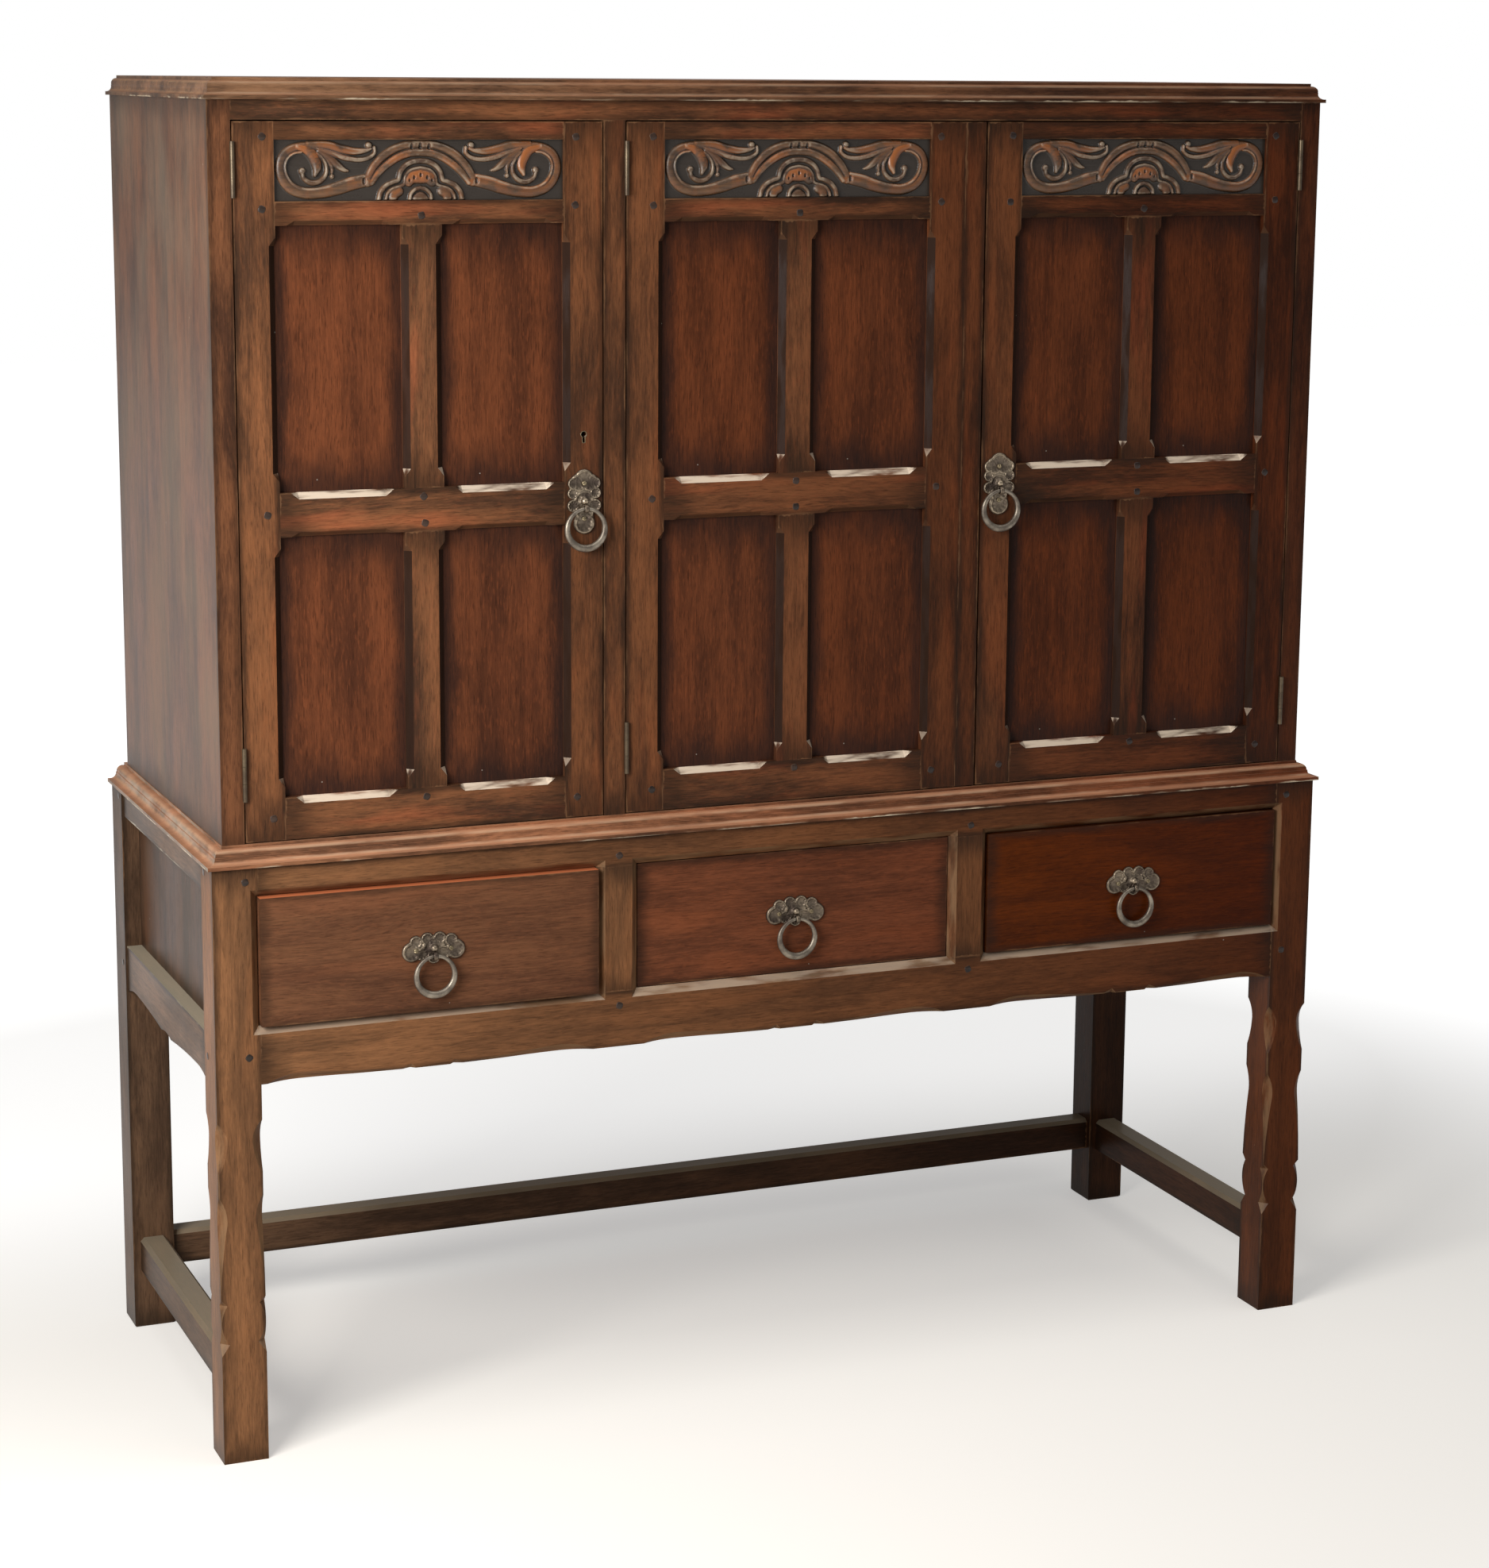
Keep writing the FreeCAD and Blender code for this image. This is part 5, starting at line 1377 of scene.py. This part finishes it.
@dataclass
class Pull:
    """A cast plate with scalloped lobes, its boss, eye and slotted screws, and the ring in the eye.

    Its sizes are in millimetres.
    """

    lobes: tuple[Lobe, ...]
    screws: tuple[tuple[float, float], ...]
    rim: float = 1.3
    dish: float = 0.9
    petal: float = 0.6
    ridge: float = 0.28
    ridges: int = 9
    shine: float = 0.5
    thickness: float = 1.7
    boss: float = 4.6
    boss_height: float = 6.0
    eye_width: float = 2.6
    eye_radius: float = 4.0
    eye_wire: float = 0.75
    stem_half: tuple[float, float] = (2.4, 4.0)
    stem_lift: float = 1.2
    stem_gap: float = 3.2
    ring_top: float = 2.1
    ring_bottom: float = 3.3
    ring_below: float = 4.2
    screw_radius: float = 2.7
    screw_height: float = 2.2
    screw_dome: float = 1.2
    slot_depth: float = 0.7

    def reach(self, angle: np.ndarray) -> np.ndarray:
        """The outline's distance from the boss at each angle, in metres."""
        far = np.zeros_like(angle)
        for lobe in self.lobes:
            along = lobe.across * np.cos(angle) + lobe.up * np.sin(angle)
            root = lobe.radius ** 2 - lobe.across ** 2 - lobe.up ** 2 + along ** 2
            far = np.maximum(far, np.where(root > 0, along + np.sqrt(np.maximum(root, 0)), 0))
        return far * MM

    def height(self, across: np.ndarray, up: np.ndarray) -> np.ndarray:
        """How far the face stands from the back, in metres."""
        aside = np.array([across / MM - lobe.across for lobe in self.lobes])
        above = np.array([up / MM - lobe.up for lobe in self.lobes])
        gaps = np.hypot(aside, above) / np.array([[lobe.radius] for lobe in self.lobes])
        nearest, second = np.sort(gaps, axis=0)[:2]
        own = gaps.argmin(axis=0)[None]
        turn = np.arctan2(np.take_along_axis(above, own, 0)[0], np.take_along_axis(aside, own, 0)[0])
        ridged = rise(nearest, 0.3, 0.6) * (1 - rise(nearest, 0.8, 0.95))
        ridges = self.ridge * np.cos(self.ridges * turn) * ridged
        rim = self.rim * rise(nearest, 0.55, 0.8) * (1 - rise(nearest, 0.88, 1.0))
        dish = self.dish * rise(nearest, 0.0, 0.6)
        groove = self.petal * (1 - rise(second - nearest, 0.03, 0.2))
        gap = np.hypot(across, up) / MM
        dome = np.sqrt(np.clip(1 - (gap / self.boss) ** 2, 0, 1))
        collar = 1.2 * (1 - rise(gap, self.boss, self.boss + 3))
        face = self.thickness + rim + dish - self.dish - groove + ridges + collar + self.boss_height * dome
        return np.maximum(face, 0.6) * MM

    def worn(self, across: np.ndarray, up: np.ndarray) -> np.ndarray:
        """How bright the handled rims and boss of the face are: wear with a painted highlight."""
        gaps = [np.hypot(across / MM - lobe.across, up / MM - lobe.up) / lobe.radius for lobe in self.lobes]
        nearest = np.min(np.array(gaps), axis=0)
        rim = rise(nearest, 0.7, 0.84) * (1 - rise(nearest, 0.86, 0.99))
        boss = 1 - rise(np.hypot(across, up) / MM, 0.4 * self.boss, self.boss)
        # Rims and boss: handled wear with a painted highlight.
        return self.shine * np.maximum(rim, 1.5 * boss)

    def build(self, name: str) -> list[bpy.types.Object]:
        """Casts the plate, drives its screws and hangs its ring.

        Args:
            name: The door or drawer that carries the pull.

        Returns:
            The plate with its eye, the screws and the ring.
        """
        low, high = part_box(f"{name}_pull")
        ring_low, ring_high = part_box(f"{name}_ring")
        origin = Vector(((low[0] + high[0]) / 2, high[1], (low[2] + high[2]) / 2))
        axis = Vector((origin.x, (ring_low[1] + ring_high[1]) / 2, ring_high[2] - self.ring_top * MM))
        plate = Gathering(f"{name}_plate")
        round_relief(plate, Seat(origin), self.reach, self.height, spokes=280, rings=34, worn=self.worn)
        self.eye(plate, axis, origin)
        screws = Gathering(f"{name}_screws")
        for across, up in self.screws:
            self.screw(screws, origin + RIGHT * across * MM + UP * up * MM)
        ring = Gathering(f"{name}_hoop")
        self.hoop(ring, axis, (ring_high[2] - ring_low[2]) / 2)
        pieces = [gathering.build() for gathering in (plate, screws, ring)]
        for piece, body in zip(pieces, (name, name, f"{name}_ring")):
            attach(piece, body)
        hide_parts(f"{name}_pull")
        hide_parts(f"{name}_ring")
        return pieces

    def eye(self, gathering: Gathering, axis: Vector, origin: Vector) -> None:
        """Adds the loop that carries the ring, with the stem that joins it to the plate.

        Args:
            gathering: The plate.
            axis: The middle of the loop.
            origin: The boss's middle on the wood's face.
        """
        steps = 28
        angles = np.linspace(0, math.tau, steps, endpoint=False)
        path = np.stack([np.cos(angles), np.sin(angles)], axis=1) * self.eye_radius * MM
        seat = Seat(axis, Vector((0, 1, 0)), UP, RIGHT)
        wire, width = (np.full(steps, half * MM) for half in (self.eye_wire, self.eye_width))
        closed_sweep(gathering, seat, path, wire, width, sides=10)
        stem = Seat(Vector((origin.x, origin.y, axis.z + self.stem_lift * MM)))
        long = origin.y - axis.y - self.stem_gap * MM
        aside, above = (half * MM for half in self.stem_half)

        def reach(angle: np.ndarray) -> np.ndarray:
            """An upright oval."""
            return 1 / np.hypot(np.cos(angle) / aside, np.sin(angle) / above)

        def height(across: np.ndarray, up: np.ndarray) -> np.ndarray:
            """A flat end."""
            return np.full(across.shape, long)

        round_relief(gathering, stem, reach, height, spokes=20, rings=2)

    def hoop(self, gathering: Gathering, axis: Vector, radius: float) -> None:
        """Adds the ring, thin where it hangs and thick below.

        Args:
            gathering: The ring.
            axis: The point that it hangs from.
            radius: Its outer radius in metres.
        """
        steps = 96
        angles = np.linspace(0, math.tau, steps, endpoint=False)
        top, bottom = self.ring_top * MM, self.ring_below * MM
        inner = radius - (top + bottom)
        shift = radius - top - (top + inner)
        near = shift * np.sin(angles) + np.sqrt(inner ** 2 - (shift * np.cos(angles)) ** 2)
        middle = (radius + near) / 2
        path = np.stack([middle * np.cos(angles), middle * np.sin(angles)], axis=1)
        deep = (1 - np.sin(angles)) / 2
        thick = (self.ring_top + (self.ring_bottom - self.ring_top) * deep) * MM
        seat = Seat(axis - UP * (radius - top))
        closed_sweep(gathering, seat, path, (radius - near) / 2, thick, sides=16)

    def screw(self, gathering: Gathering, place: Vector) -> None:
        """Adds one slotted round head.

        Args:
            gathering: The plate's screws.
            place: The middle of the head on the wood's face.
        """
        turn = random.Random(f"{gathering.name} {gathering.count}").uniform(0, math.pi)
        radius = self.screw_radius * MM

        def height(across: np.ndarray, up: np.ndarray) -> np.ndarray:
            """A dome with a slot across it."""
            share = np.hypot(across, up) / radius
            dome = self.screw_height + self.screw_dome * np.sqrt(np.clip(1 - share ** 2, 0, 1))
            gap = np.abs(across * math.sin(turn) - up * math.cos(turn)) / MM
            return (dome - self.slot_depth * (1 - rise(gap, 0.2, 0.45))) * MM

        def reach(angle: np.ndarray) -> np.ndarray:
            """A circle."""
            return np.full(angle.shape, radius)

        round_relief(gathering, Seat(place), reach, height, spokes=32, rings=12)


def pair(across: float, up: float, radius: float) -> tuple[Lobe, Lobe]:
    """Two lobes that mirror each other."""
    return Lobe(-across, up, radius), Lobe(across, up, radius)


DOOR_PULL = Pull(
    lobes=(
        Lobe(0, 0, 13), Lobe(0, 24, 11), *pair(6.5, 20, 10), *pair(12.4, 19.5, 6.6), *pair(13, 8.6, 6.4),
        *pair(12.4, -5, 7.2), Lobe(0, -12, 11), Lobe(0, -24.4, 12.2),
    ),
    screws=((0, 19.5), (0, -19.5)),
)
DRAWER_PULL = Pull(
    lobes=(
        Lobe(0, 0, 14), *pair(25, -3, 11), *pair(20, 7.6, 7.4), *pair(7, 10.4, 7.4), *pair(12, -6, 8),
        Lobe(0, -10, 7.6),
    ),
    screws=((-20, -2), (20, -2)),
    shine=0.35,
)


# Keyhole

@dataclass
class Keyhole:
    """The thin brass lining of the keyhole in the first door. Its sizes are in millimetres."""

    setback: float = 22.0
    radius: float = 3.4
    slot: float = 1.6
    drop: float = 9.3
    half_width: float = 0.4
    half_height: float = 0.35

    def build(self) -> bpy.types.Object:
        """Bends the lining round the keyhole.

        Returns:
            The lining.
        """
        low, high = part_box("door_1_lock")
        stile_low, stile_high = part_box("door_1_stiles")
        start = math.asin(self.slot / self.radius)
        angles = np.linspace(start - math.pi / 2, 1.5 * math.pi - start, 30)
        circle = np.stack([self.radius * np.cos(angles), self.radius * np.sin(angles)], axis=1)
        slot = np.array([(-self.slot, -self.drop), (0, -self.drop), (self.slot, -self.drop)])
        path = np.vstack([circle, slot]) * MM
        rim = np.full(len(path), self.half_width * MM)
        middle = Vector((stile_high[0] - self.setback * MM, stile_low[1], (low[2] + high[2]) / 2))
        gathering = Gathering("keyhole_lining")
        closed_sweep(gathering, Seat(middle), path, rim, rim * self.half_height / self.half_width, sides=8)
        piece = gathering.build()
        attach(piece, "door_1")
        return piece


# Studio

@dataclass(frozen=True)
class Lamp:
    """One soft box: where it hangs, the point that it faces, its size in metres and its power in watts."""

    name: str
    place: tuple[float, float, float]
    aim: tuple[float, float, float]
    width: float
    height: float
    power: float

    def hang(self) -> None:
        """Adds the lamp to the scene, unseen by the camera."""
        data = bpy.data.lights.new(self.name, "AREA")
        data.shape = "RECTANGLE"
        data.size = self.width
        data.size_y = self.height
        data.energy = self.power
        lamp = bpy.data.objects.new(self.name, data)
        facing = Vector(self.aim) - Vector(self.place)
        lamp.rotation_euler = facing.to_track_quat("-Z", "Y").to_euler()
        lamp.location = self.place
        lamp.visible_camera = False
        bpy.context.scene.collection.objects.link(lamp)


@dataclass
class Studio:
    """The floor, the lights and the camera."""

    eye: tuple[float, float, float] = (-1.5086, -3.7193, 1.5130)
    turn: float = -0.3927
    tilt: float = -0.1868
    roll: float = -0.0073
    lens: float = 78.17
    rise: float = -0.0443
    floor_half: float = 14.0
    floor_near: Colour = (0.8, 0.755, 0.68, 1)
    floor_far: Colour = (0.6, 0.6, 0.6, 1)
    floor_glow: float = 0.36
    far_glow: float = 0.7
    behind_share: float = 0.5
    room_light: float = 0.1
    mirrored_share: float = 0.32
    lamps: tuple[Lamp, ...] = (
        Lamp("key_light", (-1.9, -1.35, 1.55), (-0.2, 0, 0.9), 1.1, 1.1, 54),
        Lamp("overhead_light", (0.1, -0.75, 3.0), (0.1, -0.7, 0), 3.2, 1.4, 28),
    )

    def camera(self) -> None:
        """Sets the camera at the photograph's place."""
        data = bpy.data.cameras.new("Camera")
        data.sensor_fit = "VERTICAL"
        data.sensor_height = 36
        data.lens = self.lens
        data.shift_y = self.rise
        data.clip_end = 60
        camera = bpy.data.objects.new("Camera", data)
        turned = Matrix.Rotation(self.turn, 3, "Z") @ Matrix.Rotation(self.tilt, 3, "X")
        turned = turned @ Matrix.Rotation(self.roll, 3, "Y") @ Matrix.Rotation(math.radians(90), 3, "X")
        camera.matrix_world = Matrix.Translation(self.eye) @ turned.to_4x4()
        bpy.context.scene.collection.objects.link(camera)
        bpy.context.scene.camera = camera

    def floor(self) -> None:
        """Lays a pale floor that stays white to the camera apart from the cupboard's shadow."""
        half = self.floor_half
        gathering = Gathering("studio_floor")
        corners = [(-half, -half, 0.0), (half, -half, 0.0), (half, half, 0.0), (-half, half, 0.0)]
        gathering.add(np.array(corners), [(0, 1, 2, 3)])
        piece = gathering.build(smooth=False)
        surface = Surface("Studio floor")
        wiring = surface.wiring
        place = wiring.outputs("ShaderNodeTexCoord")["Object"]
        distance = wiring.outputs("ShaderNodeVectorMath", {0: place}, operation="LENGTH")["Value"]
        # The floor behind the cupboard glows more: painted light that lightens the cupboard's shadow there.
        behind = wiring.between(wiring.split(place)[1], 0.1, 0.9) * self.behind_share
        far = wiring.between(distance, 0.95, 2.3).most(behind)
        rays = wiring.outputs("ShaderNodeLightPath")
        seen_by = rays["Is Camera Ray"].most(rays["Is Glossy Ray"])
        surface.fill({
            "Base Color": wiring.mix(far, self.floor_near, self.floor_far), "Roughness": 0.9,
            "Specular IOR Level": 0.1, "Emission Color": WHITE,
            "Emission Strength": seen_by * (far * self.far_glow + self.floor_glow),
        })
        piece.data.materials.append(surface.material)
        piece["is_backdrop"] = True

    def world(self) -> None:
        """Fills the room with an even light, and shows white behind the cupboard."""
        world = bpy.data.worlds.new("Studio")
        bpy.context.scene.world = world
        world.use_nodes = True
        world.node_tree.nodes.clear()
        wiring = Wiring(world.node_tree)
        rays = wiring.outputs("ShaderNodeLightPath")
        shown = rays["Is Camera Ray"].most(rays["Is Glossy Ray"] * self.mirrored_share)
        dim, white = (
            wiring.outputs("ShaderNodeBackground", {"Color": WHITE, "Strength": strength})["Background"]
            for strength in (self.room_light, 1.0)
        )
        mixed = wiring.outputs("ShaderNodeMixShader", {0: shown, 1: dim, 2: white})["Shader"]
        wiring.add("ShaderNodeOutputWorld", {"Surface": mixed})

    def build(self) -> None:
        """Sets up the whole studio."""
        bpy.context.scene.view_settings.view_transform = "Standard"
        self.camera()
        self.floor()
        self.world()
        for lamp in self.lamps:
            lamp.hang()


def main() -> None:
    """Dresses the cupboard and sets up the studio."""
    logging.basicConfig(level=logging.INFO)
    cad_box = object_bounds()
    paintbox = Paintbox()
    for name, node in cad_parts.items():
        paintbox.dress_boards(node, finish_of(name), 2 if name.endswith("_panels") else None)
    log.info("finished %d CAD nodes", len(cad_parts))
    frieze = Frieze()
    pegs = Pegs()
    for door in DOORS:
        paintbox.dress_boards(frieze.build(door), Finish.CARVED, 0)
        paintbox.dress_boards(pegs.on_door(door), Finish.PEG)
        log.info("carved and pegged door %d", door)
    paintbox.dress_boards(pegs.on_stand(), Finish.PEG)
    for name in ("door_1", "door_3", "drawer_1", "drawer_2", "drawer_3"):
        pull = DOOR_PULL if name.startswith("door") else DRAWER_PULL
        for piece, finish in zip(pull.build(name), (Finish.BRONZE, Finish.BRASS, Finish.RING)):
            paintbox.dress(piece, finish)
        log.info("pull on %s", name)
    paintbox.dress(Keyhole().build(), Finish.BRASS)
    Studio().build()
    {"cad": plain(cad_box), "visual": plain(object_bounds())}


def plain(box: Iterable[Iterable[float]]) -> list[list[float]]:
    """A box as plain lists of numbers."""
    return [[float(value) for value in corner] for corner in box]


if __name__ == "__main__":
    main()
